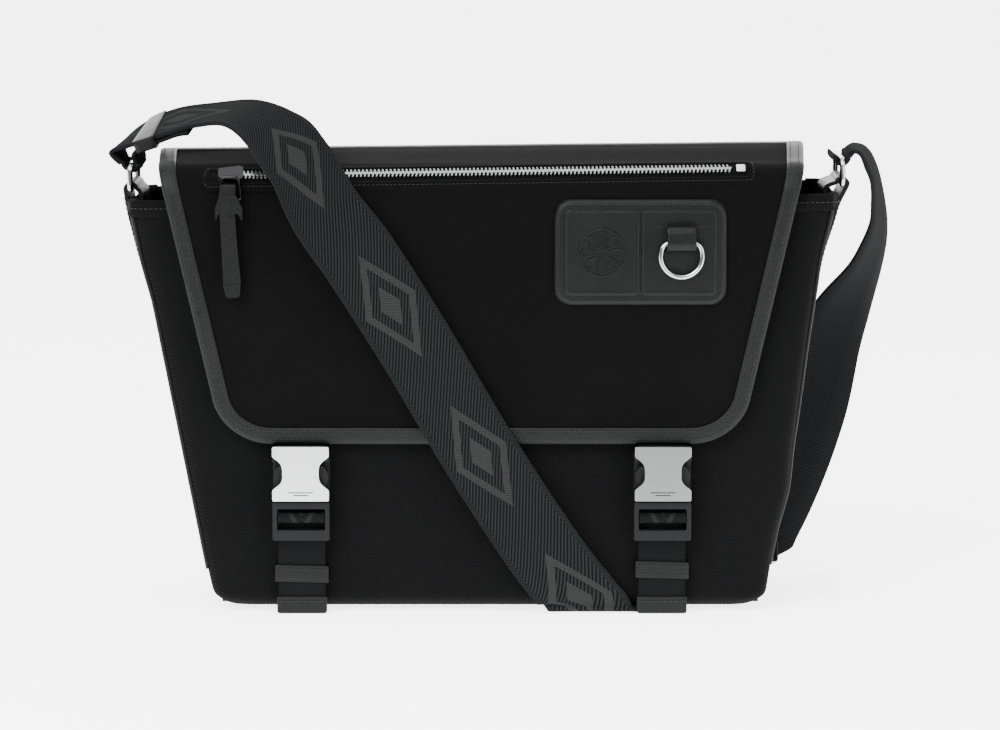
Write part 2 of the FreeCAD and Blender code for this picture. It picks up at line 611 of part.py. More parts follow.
def side_ring(side, sign):
    offset, height = f"{side}_ring_offset", f"{side}_ring_height"
    x, length, wire = f"{sign} * {offset}", "ring_length", "ring_wire / 2"
    bars = [rod(f"{side}_ring_bar_{tag}", (x, f"-1 * {length} / 2 + {wire}", level), V(0, 1, 0), wire,
                f"{length} - ring_wire")
            for tag, level in (("lower", height), ("upper", f"{height} + ring_rise"))]
    posts = [rod(f"{side}_ring_post_{tag}", (x, f"{way} * ({length} / 2 - {wire})", height),
                 V(0, 0, 1), wire, "ring_rise")
             for tag, way in (("front", -1), ("back", 1))]
    corners = []
    for tag, way, level in (("a", -1, 0), ("b", 1, 0), ("c", -1, 1), ("d", 1, 1)):
        ball = doc.addObject("Part::Sphere", f"{side}_ring_corner_{tag}")
        ball.setExpression("Radius", ref(wire))
        ball.setExpression(".Placement.Base.x", ref(x))
        ball.setExpression(".Placement.Base.y", ref(f"{way} * ({length} / 2 - {wire})"))
        ball.setExpression(".Placement.Base.z", ref(f"{height} + {level} * ring_rise"))
        corners.append(ball)
    node(fused(f"{side}_side_ring", bars + posts + corners), f"{side}_side_ring")
    chape(side, sign, x, height)


def chape(side, sign, x, height):
    """A leather strip sewn to the gusset, with an eye at its top that holds the ring's lower bar."""
    centre = sign * size(f"{side}_ring_offset")
    level = size(f"{side}_ring_height")
    half, gauge = size("chape_width") / 2, size("chape_gauge")
    wire = size("ring_wire") / 2
    taper = (size("top_half_width") - size("base_half_width")) / size("panel_height")

    def gusset_face(z):
        return sign * (size("base_half_width") + taper * z)

    eye = rod(f"{side}_chape_eye", (f"{centre}", f"{-half}", f"{level}"), V(0, 1, 0),
              "ring_wire / 2 + eye_clearance + eye_wall", "chape_width")
    bore = rod(f"{side}_chape_bore", (f"{centre}", f"{-half - 1}", f"{level}"), V(0, 1, 0),
               "ring_wire / 2 + eye_clearance", "chape_width + 2")
    bottom = level - size("chape_drop")
    lean = min(level - wire - 0.5, size("panel_height"))
    strip = doc.addObject("Part::Feature", f"{side}_chape_strip")
    corners = [
        V(gusset_face(bottom), 0, bottom), V(gusset_face(bottom) + sign * gauge, 0, bottom),
        V(centre + sign * (wire + 2.0), 0, level), V(centre - sign * (wire + 1.2), 0, level),
        V(gusset_face(lean), 0, min(lean, level - 4)),
    ]
    face = Part.Face(Part.makePolygon(corners + corners[:1]))
    face.translate(V(0, -half, 0))
    strip.Shape = face.extrude(V(0, 2 * half, 0))
    joined = fused(f"{side}_chape_whole", [eye, strip])
    node(cut(f"{side}_chape", joined, bore), f"{side}_chape")


def strap_loops():
    """The webbing turned round each ring's upper bar, which swings with the ring."""
    for side, sign, end in (("left", -1, 0), ("right", 1, -1)):
        x, level = f"{sign} * {side}_ring_offset", f"{side}_ring_height + ring_rise"
        half = "strap_width / 2"
        outside = rod(f"{side}_loop_outside", (x, f"-1 * {half}", level), V(0, 1, 0),
                      "ring_wire / 2 + loop_clearance + strap_gauge", "strap_width")
        inside = rod(f"{side}_loop_inside", (x, f"-1 * {half} - 1", level), V(0, 1, 0),
                     "ring_wire / 2 + loop_clearance", "strap_width + 2")
        node(cut(f"{side}_strap_loop", outside, inside), f"{side}_strap_loop")


def ribbon(route, width, gauge):
    """A flat strip through a route, each point with the direction across the strip."""
    points = [V(*place) for place, _ in route]
    wires = []
    for index, (_, across) in enumerate(route):
        before = points[max(index - 1, 0)]
        after = points[min(index + 1, len(points) - 1)]
        along = (after - before).normalize()
        wide = V(*across).normalize()
        thick = along.cross(wide)
        # a section that runs slantwise across the strip is longer than the strip is wide
        wide = wide / max(thick.Length, SLANT_LIMIT)
        thick = thick.normalize()
        corners = [points[index] + wide * (a * width / 2) + thick * (b * gauge / 2)
                   for a, b in ((-1, -1), (1, -1), (1, 1), (-1, 1))]
        wires.append(Part.makePolygon(corners + corners[:1]))
    return Part.makeLoft(wires, True, True)


def shoulder_strap():
    strap = doc.addObject("Part::Feature", "shoulder_strap")
    strap.Shape = ribbon(STRAP_ROUTE, size("strap_width"), size("strap_gauge"))
    node(strap, "shoulder_strap")
    steps = zip(STRAP_ROUTE, STRAP_ROUTE[1:])
    length = sum((V(*after[0]) - V(*before[0])).Length for before, after in steps)
    print(f"shoulder strap: {length:.0f} mm along its centre line")
    sleeve("strap_keeper", KEEPER_SPAN, "sleeve_width", "sleeve_gauge", strap)
    sleeve("strap_adjuster", ADJUSTER_SPAN, "slide_width", "slide_gauge", strap)


def sleeve(name, span, width, gauge, strap):
    """A loop round the strap between two fractions of one step of its route."""
    index, fractions = span
    start, end = V(*STRAP_ROUTE[index][0]), V(*STRAP_ROUTE[index + 1][0])
    route = [(tuple(start * (1 - t) + end * t), STRAP_ROUTE[index][1]) for t in fractions]
    block = doc.addObject("Part::Feature", f"{name}_block")
    block.Shape = ribbon(route, size(width), size(gauge))
    node(cut(name, block, strap), name)


# ---------------------------------------------------------------- build


def build():
    fill_sheet()
    body_panels()
    gusset("left_gusset", -1)
    gusset("right_gusset", 1)
    base_panels()
    hem()
    inner_pocket()
    flap()
    zip_parts()
    patch()
    dring()
    for side in ("left", "right"):
        buckle(side)
    side_ring("left", -1)
    side_ring("right", 1)
    strap_loops()
    shoulder_strap()
    doc.recompute()


def check_and_export():
    for obj in doc.Objects:
        if "Invalid" in obj.State or "Error" in obj.State:
            raise RuntimeError(f"{obj.Label} failed: {obj.State}")
    for obj in NODES:
        shape = obj.Shape
        if shape.isNull() or not shape.isValid() or not shape.Solids:
            raise RuntimeError(f"{obj.Label} has no valid solid")
    os.makedirs("parts", exist_ok=True)
    for obj in NODES:
        obj.Shape.exportStep(f"parts/{obj.Label}.step")
    print(f"{len(NODES)} sub-parts written")


build()
check_and_export()
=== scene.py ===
"""Messenger bag: the looks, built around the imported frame. Metres, Z up, the bag's front faces -Y."""
import math

import bmesh
import bpy
from mathutils import Matrix, Vector, noise


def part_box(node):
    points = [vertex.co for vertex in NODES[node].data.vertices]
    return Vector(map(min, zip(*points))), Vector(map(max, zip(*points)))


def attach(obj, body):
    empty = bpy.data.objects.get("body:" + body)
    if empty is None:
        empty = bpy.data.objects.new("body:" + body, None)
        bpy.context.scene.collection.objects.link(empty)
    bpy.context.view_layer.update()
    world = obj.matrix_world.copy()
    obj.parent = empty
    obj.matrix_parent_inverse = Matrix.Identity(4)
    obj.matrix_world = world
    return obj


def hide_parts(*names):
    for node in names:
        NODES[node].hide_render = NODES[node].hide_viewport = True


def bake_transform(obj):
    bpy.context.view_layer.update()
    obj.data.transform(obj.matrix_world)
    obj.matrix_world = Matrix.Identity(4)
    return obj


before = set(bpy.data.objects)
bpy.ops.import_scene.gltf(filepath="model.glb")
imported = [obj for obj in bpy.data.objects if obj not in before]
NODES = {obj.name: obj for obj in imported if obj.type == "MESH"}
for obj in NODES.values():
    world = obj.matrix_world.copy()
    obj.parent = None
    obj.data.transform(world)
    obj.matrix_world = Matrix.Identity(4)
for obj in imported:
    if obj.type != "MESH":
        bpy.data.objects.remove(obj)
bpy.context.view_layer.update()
MM = 0.001


def mm(*values):
    return Vector([value * MM for value in values])


def edge(node, side, axis):
    """One coordinate of a CAD node's box, in millimetres: side 0 is low, 1 is high."""
    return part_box(node)[side]["xyz".index(axis)] / MM


def extent(node):
    """A CAD node's box in millimetres: its low and high x, then y, then z."""
    return [edge(node, side, axis) for axis in "xyz" for side in (0, 1)]


def smooth(t):
    t = min(max(t, 0.0), 1.0)
    return t * t * (3 - 2 * t)


def mix(a, b, t):
    return a + (b - a) * t


def span(a, b, pieces):
    """Evenly spaced values from a to b."""
    return [mix(a, b, k / pieces) for k in range(pieces + 1)]


# ---------------------------------------------------------------- sizes, in millimetres

TOP_HALF = edge("front_panel", 1, "x")
BASE_HALF = edge("base_panel", 1, "x") - 1
MOUTH = edge("front_panel", 1, "z")
FRONT = edge("front_panel", 0, "y")
BACK = edge("back_panel", 1, "y")
FLAP_HALF = edge("flap_top_panel", 1, "x")
FLAP_TIP_HALF = 134
FLAP_TOP = edge("flap_top_panel", 1, "z")
FLAP_BOTTOM = edge("flap_front_panel", 0, "z")
FLAP_FACE = edge("flap_front_panel", 0, "y")
SHOULDER = 17
CORNER = 25
BINDING = 8
FLAP_SHIFT = -4.5
BACK_FLARE = 6

# ---------------------------------------------------------------- materials


class Shader:
    """A Principled material with short helpers for its procedural nodes."""

    def __init__(self, name, color, roughness, metallic=0.0, **sockets):
        self.material = bpy.data.materials.new(name)
        self.material.use_nodes = True
        self.tree = self.material.node_tree
        self.bsdf = self.tree.nodes["Principled BSDF"]
        self.bsdf.inputs["Base Color"].default_value = (*color, 1)
        self.bsdf.inputs["Roughness"].default_value = roughness
        self.bsdf.inputs["Metallic"].default_value = metallic
        for socket, value in sockets.items():
            self.bsdf.inputs[socket.replace("_", " ")].default_value = value
        self.height = None

    def node(self, kind, inputs=(), **settings):
        """A node with its settings; its inputs are set, or linked where the value is a socket."""
        made = self.tree.nodes.new(kind)
        for key, value in settings.items():
            setattr(made, key, value)
        for key, value in dict(inputs).items():
            self.feed(made.inputs[key], value)
        return made

    def feed(self, target, value):
        if isinstance(value, bpy.types.NodeSocket):
            self.tree.links.new(value, target)
        else:
            target.default_value = value

    def coordinates(self, scale=(1, 1, 1)):
        place = self.node("ShaderNodeTexCoord").outputs["Object"]
        return self.node("ShaderNodeMapping", {"Scale": scale, "Vector": place}).outputs["Vector"]

    def math(self, operation, a, b=0.5):
        return self.node("ShaderNodeMath", {0: a, 1: b}, operation=operation).outputs[0]

    def noise(self, vector, scale, detail=3.0, roughness=0.5):
        inputs = {"Scale": scale, "Detail": detail, "Roughness": roughness, "Vector": vector}
        return self.node("ShaderNodeTexNoise", inputs).outputs["Fac"]

    def cells(self, vector, scale):
        inputs = {"Scale": scale, "Vector": vector}
        return self.node("ShaderNodeTexVoronoi", inputs, feature="DISTANCE_TO_EDGE").outputs["Distance"]

    def bands(self, vector, scale, direction):
        inputs = {"Scale": scale, "Vector": vector}
        return self.node("ShaderNodeTexWave", inputs, bands_direction=direction).outputs["Fac"]

    def ramp(self, factor, low, high, start=0.0, end=1.0):
        inputs = {"Value": factor, "From Min": start, "From Max": end, "To Min": low, "To Max": high}
        return self.node("ShaderNodeMapRange", inputs).outputs["Result"]

    def choose(self, kind, factor, a, b):
        """a where the factor is 0, b where it is 1; kind is FLOAT or RGBA."""
        inputs = {"Factor": factor, "A": a, "B": b}
        return self.node("ShaderNodeMix", inputs, data_type=kind).outputs["Result"]

    def blend(self, factor, low, high):
        return self.choose("RGBA", factor, (*low, 1), (*high, 1))

    def color(self, factor, low, high):
        self.feed(self.bsdf.inputs["Base Color"], self.blend(factor, low, high))

    def rough(self, factor, low, high):
        self.feed(self.bsdf.inputs["Roughness"], self.ramp(factor, low, high))

    def bump(self, height, strength, distance):
        inputs = {"Strength": strength, "Distance": distance, "Height": height}
        if self.height is not None:
            inputs["Normal"] = self.height
        self.height = self.node("ShaderNodeBump", inputs).outputs["Normal"]
        self.feed(self.bsdf.inputs["Normal"], self.height)


def twill(name, color, bright, pitch, roughness=0.85, strength=0.6):
    """Woven cloth with diagonal ribs a pitch apart, in metres, broken by cross threads."""
    made = Shader(name, color, roughness, Sheen_Weight=0.03, Sheen_Roughness=0.5, Specular_IOR_Level=0.0)
    where = made.coordinates()
    ribs = made.bands(where, 0.314 / pitch, "DIAGONAL")
    threads = made.bands(where, 0.45 / pitch, "Z")
    weave = made.math("MULTIPLY", ribs, made.ramp(threads, 0.55, 1.0))
    cloud = made.noise(where, 14, 4)
    made.color(made.math("MULTIPLY", weave, made.ramp(cloud, 0.6, 1.3)), color, bright)
    made.bump(cloud, 0.15, 0.004)
    made.bump(weave, strength, 0.0004)
    return made.material


def leather(name, color, bright, grain, roughness, strength):
    """Pebbled leather: cells of grain, fine pores and slow changes of gloss."""
    made = Shader(name, color, roughness, Specular_IOR_Level=0.13)
    where = made.coordinates()
    cells = made.cells(where, grain)
    pores = made.noise(where, grain * 2.2, 2)
    cloud = made.noise(where, 30, 3)
    shade = made.math("MULTIPLY", made.ramp(cells, 0.3, 1, 0, 0.4), made.ramp(cloud, 0.5, 1.1))
    made.color(shade, color, bright)
    made.rough(cloud, roughness - 0.08, roughness + 0.12)
    made.bump(cloud, 0.1, 0.003)
    made.bump(made.ramp(cells, 0, 1, 0, 0.25), strength, 0.00025)
    made.bump(pores, strength * 0.4, 0.0001)
    return made.material


def metal(name, color, roughness, brushed=None):
    """Polished metal with faint smears, or brushed with fine lines along one axis."""
    made = Shader(name, color, roughness, metallic=1.0)
    if brushed:
        where = made.coordinates(scale=brushed)
        lines = made.noise(where, 400, 4, 0.7)
        made.rough(lines, roughness - 0.08, roughness + 0.14)
        made.color(lines, [c * 0.86 for c in color], [min(c * 1.08, 1) for c in color])
        made.bump(lines, 0.12, 0.0001)
    else:
        where = made.coordinates()
        made.rough(made.noise(where, 60, 3), roughness, roughness + 0.1)
        made.bump(made.noise(where, 900, 2), 0.02, 0.0001)
    return made.material


def plastic(name, color):
    made = Shader(name, color, 0.42, Specular_IOR_Level=0.10)
    where = made.coordinates()
    made.rough(made.noise(where, 120, 3), 0.34, 0.52)
    made.bump(made.noise(where, 2600, 2), 0.12, 0.0001)
    return made.material


MATERIALS = {}


def make_materials():
    for key, made in (
            ("twill", twill("body_twill", (0.0022, 0.0022, 0.0024), (0.0050, 0.0050, 0.0052), 0.0009)),
            ("nylon", twill("flap_nylon", (0.0020, 0.0020, 0.0021), (0.0032, 0.0032, 0.0033), 0.00045,
                            0.72, 0.2)),
            ("lining", twill("lining_cloth", (0.0022, 0.0022, 0.0023), (0.0040, 0.0040, 0.0041), 0.0005)),
            ("leather", leather("leather_smooth", (0.0009, 0.0010, 0.0010), (0.0026, 0.0029, 0.0029),
                                1100, 0.36, 0.3)),
            ("binding", leather("leather_binding", (0.0018, 0.0020, 0.0020), (0.0052, 0.0057, 0.0057),
                                700, 0.45, 0.35)),
            ("edge_paint", leather("leather_edge", (0.0016, 0.0018, 0.0018), (0.0030, 0.0033, 0.0033),
                                   1500, 0.5, 0.15)),
            ("strap", strap_material()),
            ("webbing", webbing_material()),
            # The thread is a lighter grey than the leather: partly its own colour, partly a painted highlight
            # standing for the sheen on the puckered leather along the stitch rows.
            ("thread", plastic("thread", (0.0125, 0.0130, 0.0130))),
            ("tape", twill("zip_tape", (0.0022, 0.0022, 0.0023), (0.0040, 0.0040, 0.0041), 0.0006)),
            ("polished", metal("polished_metal", (0.42, 0.43, 0.43), 0.12)),
            ("dark_metal", metal("dark_metal", (0.022, 0.022, 0.023), 0.15)),
            ("teeth", metal("teeth_metal", (0.20, 0.205, 0.205), 0.24)),
            # The two buckle plates are the same metal: the left plate is the lit copy, and the right plate's
            # darker colour is painted shade.
            ("plate_left", metal("lit_plate_metal", (0.60, 0.62, 0.61), 0.30, (6, 6, 1))),
            ("plate_right", metal("shaded_plate_metal", (0.17, 0.175, 0.175), 0.34, (10, 10, 0.4))),
            ("plastic", plastic("black_plastic", (0.0042, 0.0046, 0.0048))),
            ("board", plastic("base_stiffener", (0.006, 0.006, 0.006)))):
        MATERIALS[key] = made


def motif(made, across, along, cell):
    """A woven lozenge-and-chevron motif: 1 inside the figure, 0 outside. across and along are in metres."""
    place = made.math("FRACT", made.math("DIVIDE", along, cell))
    offset = made.math("ABSOLUTE", made.math("SUBTRACT", place, 0.5))
    reach = made.math("MULTIPLY", made.math("ABSOLUTE", across), 1.0 / 0.026)
    distance = made.math("ADD", made.math("MULTIPLY", offset, 1.7), reach)
    ring = made.math("ABSOLUTE", made.math("SUBTRACT", distance, 0.50))
    frame_line = made.math("LESS_THAN", ring, 0.075)
    core = made.math("LESS_THAN", distance, 0.22)
    inside = made.math("LESS_THAN", reach, 0.58)
    return made.math("MULTIPLY", made.math("MAXIMUM", frame_line, core), inside)


def woven(name, color, roughness, **sockets):
    """A webbing's shader, and the places across and along the webbing in metres."""
    made = Shader(name, color, roughness, Specular_IOR_Level=0.0, **sockets)
    place = made.node("ShaderNodeUVMap", uv_map="metres").outputs["UV"]
    split = made.node("ShaderNodeSeparateXYZ", {0: place})
    return made, split.outputs["X"], split.outputs["Y"]


def sines(made, run, pitch, low):
    """Ribs a pitch apart that swing between low and 1."""
    wave = made.math("SINE", made.math("MULTIPLY", run, 2 * math.pi / pitch))
    return made.ramp(wave, low, 1, -1, 1)


def slanted(made, across, along, slope, pitch):
    return sines(made, made.math("ADD", along, made.math("MULTIPLY", across, slope)), pitch, 0)


def figured(made, figure, weave, ground, raised):
    """Colours the weave by its ground's two tones, and by the raised two inside the figure."""
    tone = made.choose("RGBA", figure, made.blend(weave, *ground), made.blend(weave, *raised))
    made.feed(made.bsdf.inputs["Base Color"], tone)


CROSS_PITCH = 0.0008


def strap_material():
    """Jacquard webbing: slanted ribs, a plain raised border and a tonal motif in the opposite rib."""
    made, across, along = woven("strap_webbing", (0.02, 0.022, 0.022), 0.72,
                                Sheen_Weight=0.03, Sheen_Roughness=0.4)
    figure = motif(made, across, along, 0.092)
    border = made.math("GREATER_THAN", made.math("ABSOLUTE", across), 0.0172)
    figure_or_border = made.math("MAXIMUM", figure, border)
    ribs = made.choose("FLOAT", figure_or_border, slanted(made, across, along, 1.5, 0.0029),
                       slanted(made, across, along, -0.6, 0.0011))
    weave = made.math("MULTIPLY", ribs, sines(made, across, CROSS_PITCH, 0.7))
    figured(made, figure, weave, ((0.0022, 0.0026, 0.0027), (0.0135, 0.0148, 0.0148)),
            ((0.0105, 0.0108, 0.0108), (0.0225, 0.0230, 0.0230)))
    made.bump(figure_or_border, 0.35, 0.0003)
    made.bump(weave, 0.55, 0.0004)
    return made.material


def webbing_material():
    """Narrow twill webbing with slanted ribs and a small motif."""
    made, across, along = woven("lower_webbing", (0.018, 0.02, 0.02), 0.75)
    figure = motif(made, made.math("MULTIPLY", across, 1.5), along, 0.046)
    ribs = slanted(made, across, along, 1.4, 0.0019)
    weave = made.math("MULTIPLY", ribs, sines(made, across, CROSS_PITCH, 0.7))
    figured(made, figure, weave, ((0.0022, 0.0025, 0.0025), (0.0095, 0.0105, 0.0105)),
            ((0.0075, 0.0078, 0.0078), (0.0140, 0.0146, 0.0146)))
    made.bump(weave, 0.55, 0.0004)
    return made.material


# ---------------------------------------------------------------- mesh helpers


def finish_mesh(name, mesh, body, material, replaces=(), bevel=0.0):
    """Makes a piece: smooth-shaded, with its bevel in millimetres, and riding a body if one is given."""
    obj = bpy.data.objects.new(name, mesh)
    bpy.context.collection.objects.link(obj)
    mesh.materials.append(MATERIALS[material])
    for polygon in mesh.polygons:
        polygon.use_smooth = True
    if bevel:
        made = obj.modifiers.new("bevel", "BEVEL")
        made.width = bevel * MM
        made.segments = 3
        made.limit_method = "ANGLE"
        made.angle_limit = math.radians(35)
        obj.modifiers.new("normals", "WEIGHTED_NORMAL").keep_sharp = False
    if replaces:
        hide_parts(*replaces)
    if body:
        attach(obj, body)
    return obj


def thicken(obj, thickness, offset=-1):
    """Gives a sheet its thickness in millimetres: offset -1 is behind its faces, 1 in front."""
    made = obj.modifiers.new("thickness", "SOLIDIFY")
    made.thickness = thickness * MM
    made.offset = offset


def subdivide(obj, levels):
    made = obj.modifiers.new("smooth", "SUBSURF")
    made.levels = made.render_levels = levels


def write_outward(work, mesh):
    """Turns the worked faces outwards and writes them to the mesh."""
    bmesh.ops.recalc_face_normals(work, faces=work.faces)
    work.to_mesh(mesh)
    work.free()
    return mesh


def merged(mesh, distance=1e-7):
    work = bmesh.new()
    work.from_mesh(mesh)
    bmesh.ops.remove_doubles(work, verts=work.verts, dist=distance)
    return write_outward(work, mesh)


def capped(mesh, below=math.inf):
    """Fills the mesh's open ends, or only those that start under a height in metres."""
    work = bmesh.new()
    work.from_mesh(mesh)
    rims = [e for e in work.edges if e.is_boundary and e.verts[0].co.z < below]
    bmesh.ops.holes_fill(work, edges=rims, sides=0)
    return write_outward(work, mesh)


def grid_mesh(name, rows, closed=False, uvs=None):
    """A mesh from rows of points; closed joins each row's end to its start. uvs mirrors rows, in metres."""
    count = len(rows[0])
    mesh = bpy.data.meshes.new(name)
    faces = []
    for r in range(len(rows) - 1):
        for c in range(count if closed else count - 1):
            d = (c + 1) % count
            faces.append((r * count + c, r * count + d, (r + 1) * count + d, (r + 1) * count + c))
    mesh.from_pydata([point for row in rows for point in row], [], faces)
    if uvs:
        flat = [pair for row in uvs for pair in row]
        layer = mesh.uv_layers.new(name="metres")
        for loop in mesh.loops:
            layer.data[loop.index].uv = flat[loop.vertex_index]
    mesh.update()
    return mesh


def tube(name, path, radius, body, material, sides=12, closed=False, replaces=()):
    """A round bar along a path in metres."""
    rows = []
    count = len(path)
    normal = None
    for index, point in enumerate(path):
        before = path[(index - 1) % count] if closed or index else point
        after = path[(index + 1) % count] if closed or index < count - 1 else point
        along = (after - before).normalized()
        if normal is None:
            normal = along.orthogonal().normalized()
        normal = (normal - along * normal.dot(along)).normalized()
        other = along.cross(normal)
        turn = [2 * math.pi * k / sides for k in range(sides)]
        rows.append([point + (normal * math.cos(a) + other * math.sin(a)) * radius for a in turn])
    if closed:
        rows.append(rows[0])
    mesh = grid_mesh(name, rows, closed=True)
    return finish_mesh(name, merged(mesh) if closed else capped(mesh), body, material, replaces)


def joined_mesh(name, meshes):
    work = bmesh.new()
    for mesh in meshes:
        work.from_mesh(mesh)
        bpy.data.meshes.remove(mesh)
    mesh = bpy.data.meshes.new(name)
    work.to_mesh(mesh)
    work.free()
    return mesh


def prism(name, outline, front, back):
    """A solid of an outline of (x, z) points in millimetres, from y=front to y=back."""
    work = bmesh.new()
    near = [work.verts.new(mm(x, front, z)) for x, z in outline]
    far = [work.verts.new(mm(x, back, z)) for x, z in outline]
    work.faces.new(near)
    work.faces.new(list(reversed(far)))
    for k in range(len(outline)):
        j = (k + 1) % len(outline)
        work.faces.new((near[j], near[k], far[k], far[j]))
    return write_outward(work, bpy.data.meshes.new(name))


def block(name, low, high):
    outline = [(low[0], low[2]), (high[0], low[2]), (high[0], high[2]), (low[0], high[2])]
    return prism(name, outline, low[1], high[1])


def rounded(points, radius, steps=6):
    """An outline of (x, z) points with its corners rounded."""
    result = []
    count = len(points)
    for k in range(count):
        here = Vector(points[k])
        before = (Vector(points[k - 1]) - here)
        after = (Vector(points[(k + 1) % count]) - here)
        size = radius[k] if isinstance(radius, (list, tuple)) else radius
        half = before.angle(after) / 2
        cut = min(size / math.tan(half), before.length * 0.49, after.length * 0.49)
        start, end = here + before.normalized() * cut, here + after.normalized() * cut
        for step in range(steps + 1):
            t = step / steps
            result.append(tuple(start * (1 - t) ** 2 + here * 2 * t * (1 - t) + end * t * t))
    return result


def rectangle(x0, x1, z0, z1, radius, steps):
    return rounded([(x0, z0), (x1, z0), (x1, z1), (x0, z1)], radius, steps)


def along_path(path, pitch):
    """(point, direction) pairs a pitch apart along a path of Vectors, from half a pitch in."""
    places = []
    travelled = pitch / 2
    done = 0.0
    for a, b in zip(path, path[1:]):
        length = (b - a).length
        while travelled <= done + length and length > 0:
            places.append((a.lerp(b, (travelled - done) / length), (b - a).normalized()))
            travelled += pitch
        done += length
    return places


def directions(line):
    """The direction of a line of Vectors at each of its points."""
    last = len(line) - 1
    return [(line[min(k + 1, last)] - line[max(k - 1, 0)]).normalized() for k in range(last + 1)]


def nearest(path, values):
    """A function that gives the value at the path's point nearest to a place."""
    def value_at(place):
        return values[min(range(len(path)), key=lambda k: (path[k] - place).length_squared)]
    return value_at


STITCH_PROFILE = ((-0.5, 0.0, 0.55), (-0.28, 0.85, 1.0), (0.28, 0.85, 1.0), (0.5, 0.0, 0.55))
STITCH_SIDES = 6


def stitches(name, paths, normals, body, pitch=2.7, length=1.9, width=0.55):
    """Rows of stitches: short rounded threads that lie along paths, in metres, on a surface."""
    work = bmesh.new()
    for path, normal in zip(paths, normals):
        for point, along in along_path(path, pitch * MM):
            up = normal(point) if callable(normal) else normal
            side = along.cross(up).normalized()
            up = side.cross(along).normalized()
            rings = []
            for place, rise, girth in STITCH_PROFILE:
                centre = point + along * (place * length * MM) + up * ((rise * 0.22 + 0.10) * MM)
                ring = []
                for k in range(STITCH_SIDES):
                    angle = 2 * math.pi * k / STITCH_SIDES
                    out = side * math.cos(angle) * width * 0.5 + up * math.sin(angle) * width * 0.32
                    ring.append(work.verts.new(centre + out * girth * MM))
                rings.append(ring)
            for a, b in zip(rings, rings[1:]):
                for k in range(STITCH_SIDES):
                    j = (k + 1) % STITCH_SIDES
                    work.faces.new((a[k], a[j], b[j], b[k]))
            work.faces.new(list(reversed(rings[0])))
            work.faces.new(rings[-1])
    return finish_mesh(name, write_outward(work, bpy.data.meshes.new(name)), body, "thread")


OUT = Vector((0, -1, 0))

# ---------------------------------------------------------------- body

UNDER = ((54.0, -51.6), (61.0, -42.0), (115.0, 42.0), (122.0, 53.0))


def strap_clearance(x, y):
    """1 over the strap that runs under the base, 0 away from it."""
    (x0, y0), (x1, y1) = UNDER[1], UNDER[2]
    along = Vector((x1 - x0, y1 - y0)).normalized()
    away = abs((x - x0) * along.y - (y - y0) * along.x)
    return 1 - smooth((away - 22) / 6)


# How far the body stands in or out of its straight sides at each height, on the right (True) and on the left.
SLACK = {True: ((0, -5.0), (9, -3.4), (29, -3.4), (37, -3.0), (63, -0.6), (91, -2.0), (143, -3.1),
                (176, -3.2), (216, 0.5)),
         False: ((0, -2.8), (14, -1.4), (160, -1.4), (188, 0.4), (216, 0.6))}


def body_half(z, right):
    """Half-width of the filled body at a height."""
    half = mix(BASE_HALF, TOP_HALF, z / MOUTH)
    slack = SLACK[right]
    for (z0, a), (z1, b) in zip(slack, slack[1:]):
        if z <= z1:
            return half + mix(a, b, smooth((z - z0) / (z1 - z0)))
    return half + slack[-1][1]


def tall(x, z):
    """The soft bag stands a little taller towards its right end, in millimetres."""
    return z / 236 * (2.2 + 0.0105 * x)


def lean(z):
    """The filled bag leans a little to the left as it rises, in millimetres."""
    return mix(0.8, -3.5, z / MOUTH)


def base_rise(x, y):
    """The soft base curls up towards its seams and stays clear of the strap, in millimetres."""
    curl = 2.2 * smooth(max((abs(y) - 16) / 32, (abs(x) - 122) / 26))
    return 0.4 + max(curl, 2.4 * strap_clearance(x, y))


BASE_ROUND = 9
BASE_HEIGHT = 11
RING_POINTS = 176
SHELL_LEVELS = 36


def body_ring(z, shrink):
    """A rounded rectangle of the body at a height, drawn in by shrink, as (x, y) pairs."""
    left, right = body_half(z, False) - shrink, body_half(z, True) - shrink
    depth = (BACK - FRONT) / 2 - shrink
    outline = rectangle(-left, right, -depth, depth, BASE_ROUND, 5)
    outline.append(outline[0])
    lengths = [0.0]
    for a, b in zip(outline, outline[1:]):
        lengths.append(lengths[-1] + (Vector(b) - Vector(a)).length)
    ring, at = [], 0
    for k in range(RING_POINTS):
        want = lengths[-1] * k / RING_POINTS
        while lengths[at + 1] < want:
            at += 1
        t = (want - lengths[at]) / max(lengths[at + 1] - lengths[at], 1e-6)
        ring.append(tuple(Vector(outline[at]).lerp(Vector(outline[at + 1]), t)))
    return ring


def sag(x, y, z):
    """How far the cloth stands out from the flat panel, in millimetres."""
    rise = max(math.sin(math.pi * min(max(z / MOUTH, 0), 1)), 0)
    fold = noise.noise(Vector((x / 60, y / 45, z / 38))) * 0.9
    fold += noise.noise(Vector((x / 22 + 5, y / 20, z / 30))) * 0.35
    middle = math.cos(math.pi * min(abs(x) / 165, 1) / 2)
    if y < 0 and abs(x) < 165:
        behind_strap = smooth((28 - abs(abs(x + 4.2) - 94.2)) / 10)
        return (0.5 * fold * rise + 0.6 * rise * middle) * (1 - behind_strap) - 0.25 * behind_strap * rise
    if y > 0 and abs(x) < 165:
        return 1.2 * fold * rise + 6.0 * rise * middle
    return 1.8 * fold * rise


def gusset_fold(x, y, z):
    """The gussets crease inwards along their middle, most at half height."""
    if abs(x) < 120:
        return 0.0
    return 7.0 * smooth(1 - abs(y) / 42) * math.sin(math.pi * min(z / (MOUTH * 0.86), 1)) ** 2


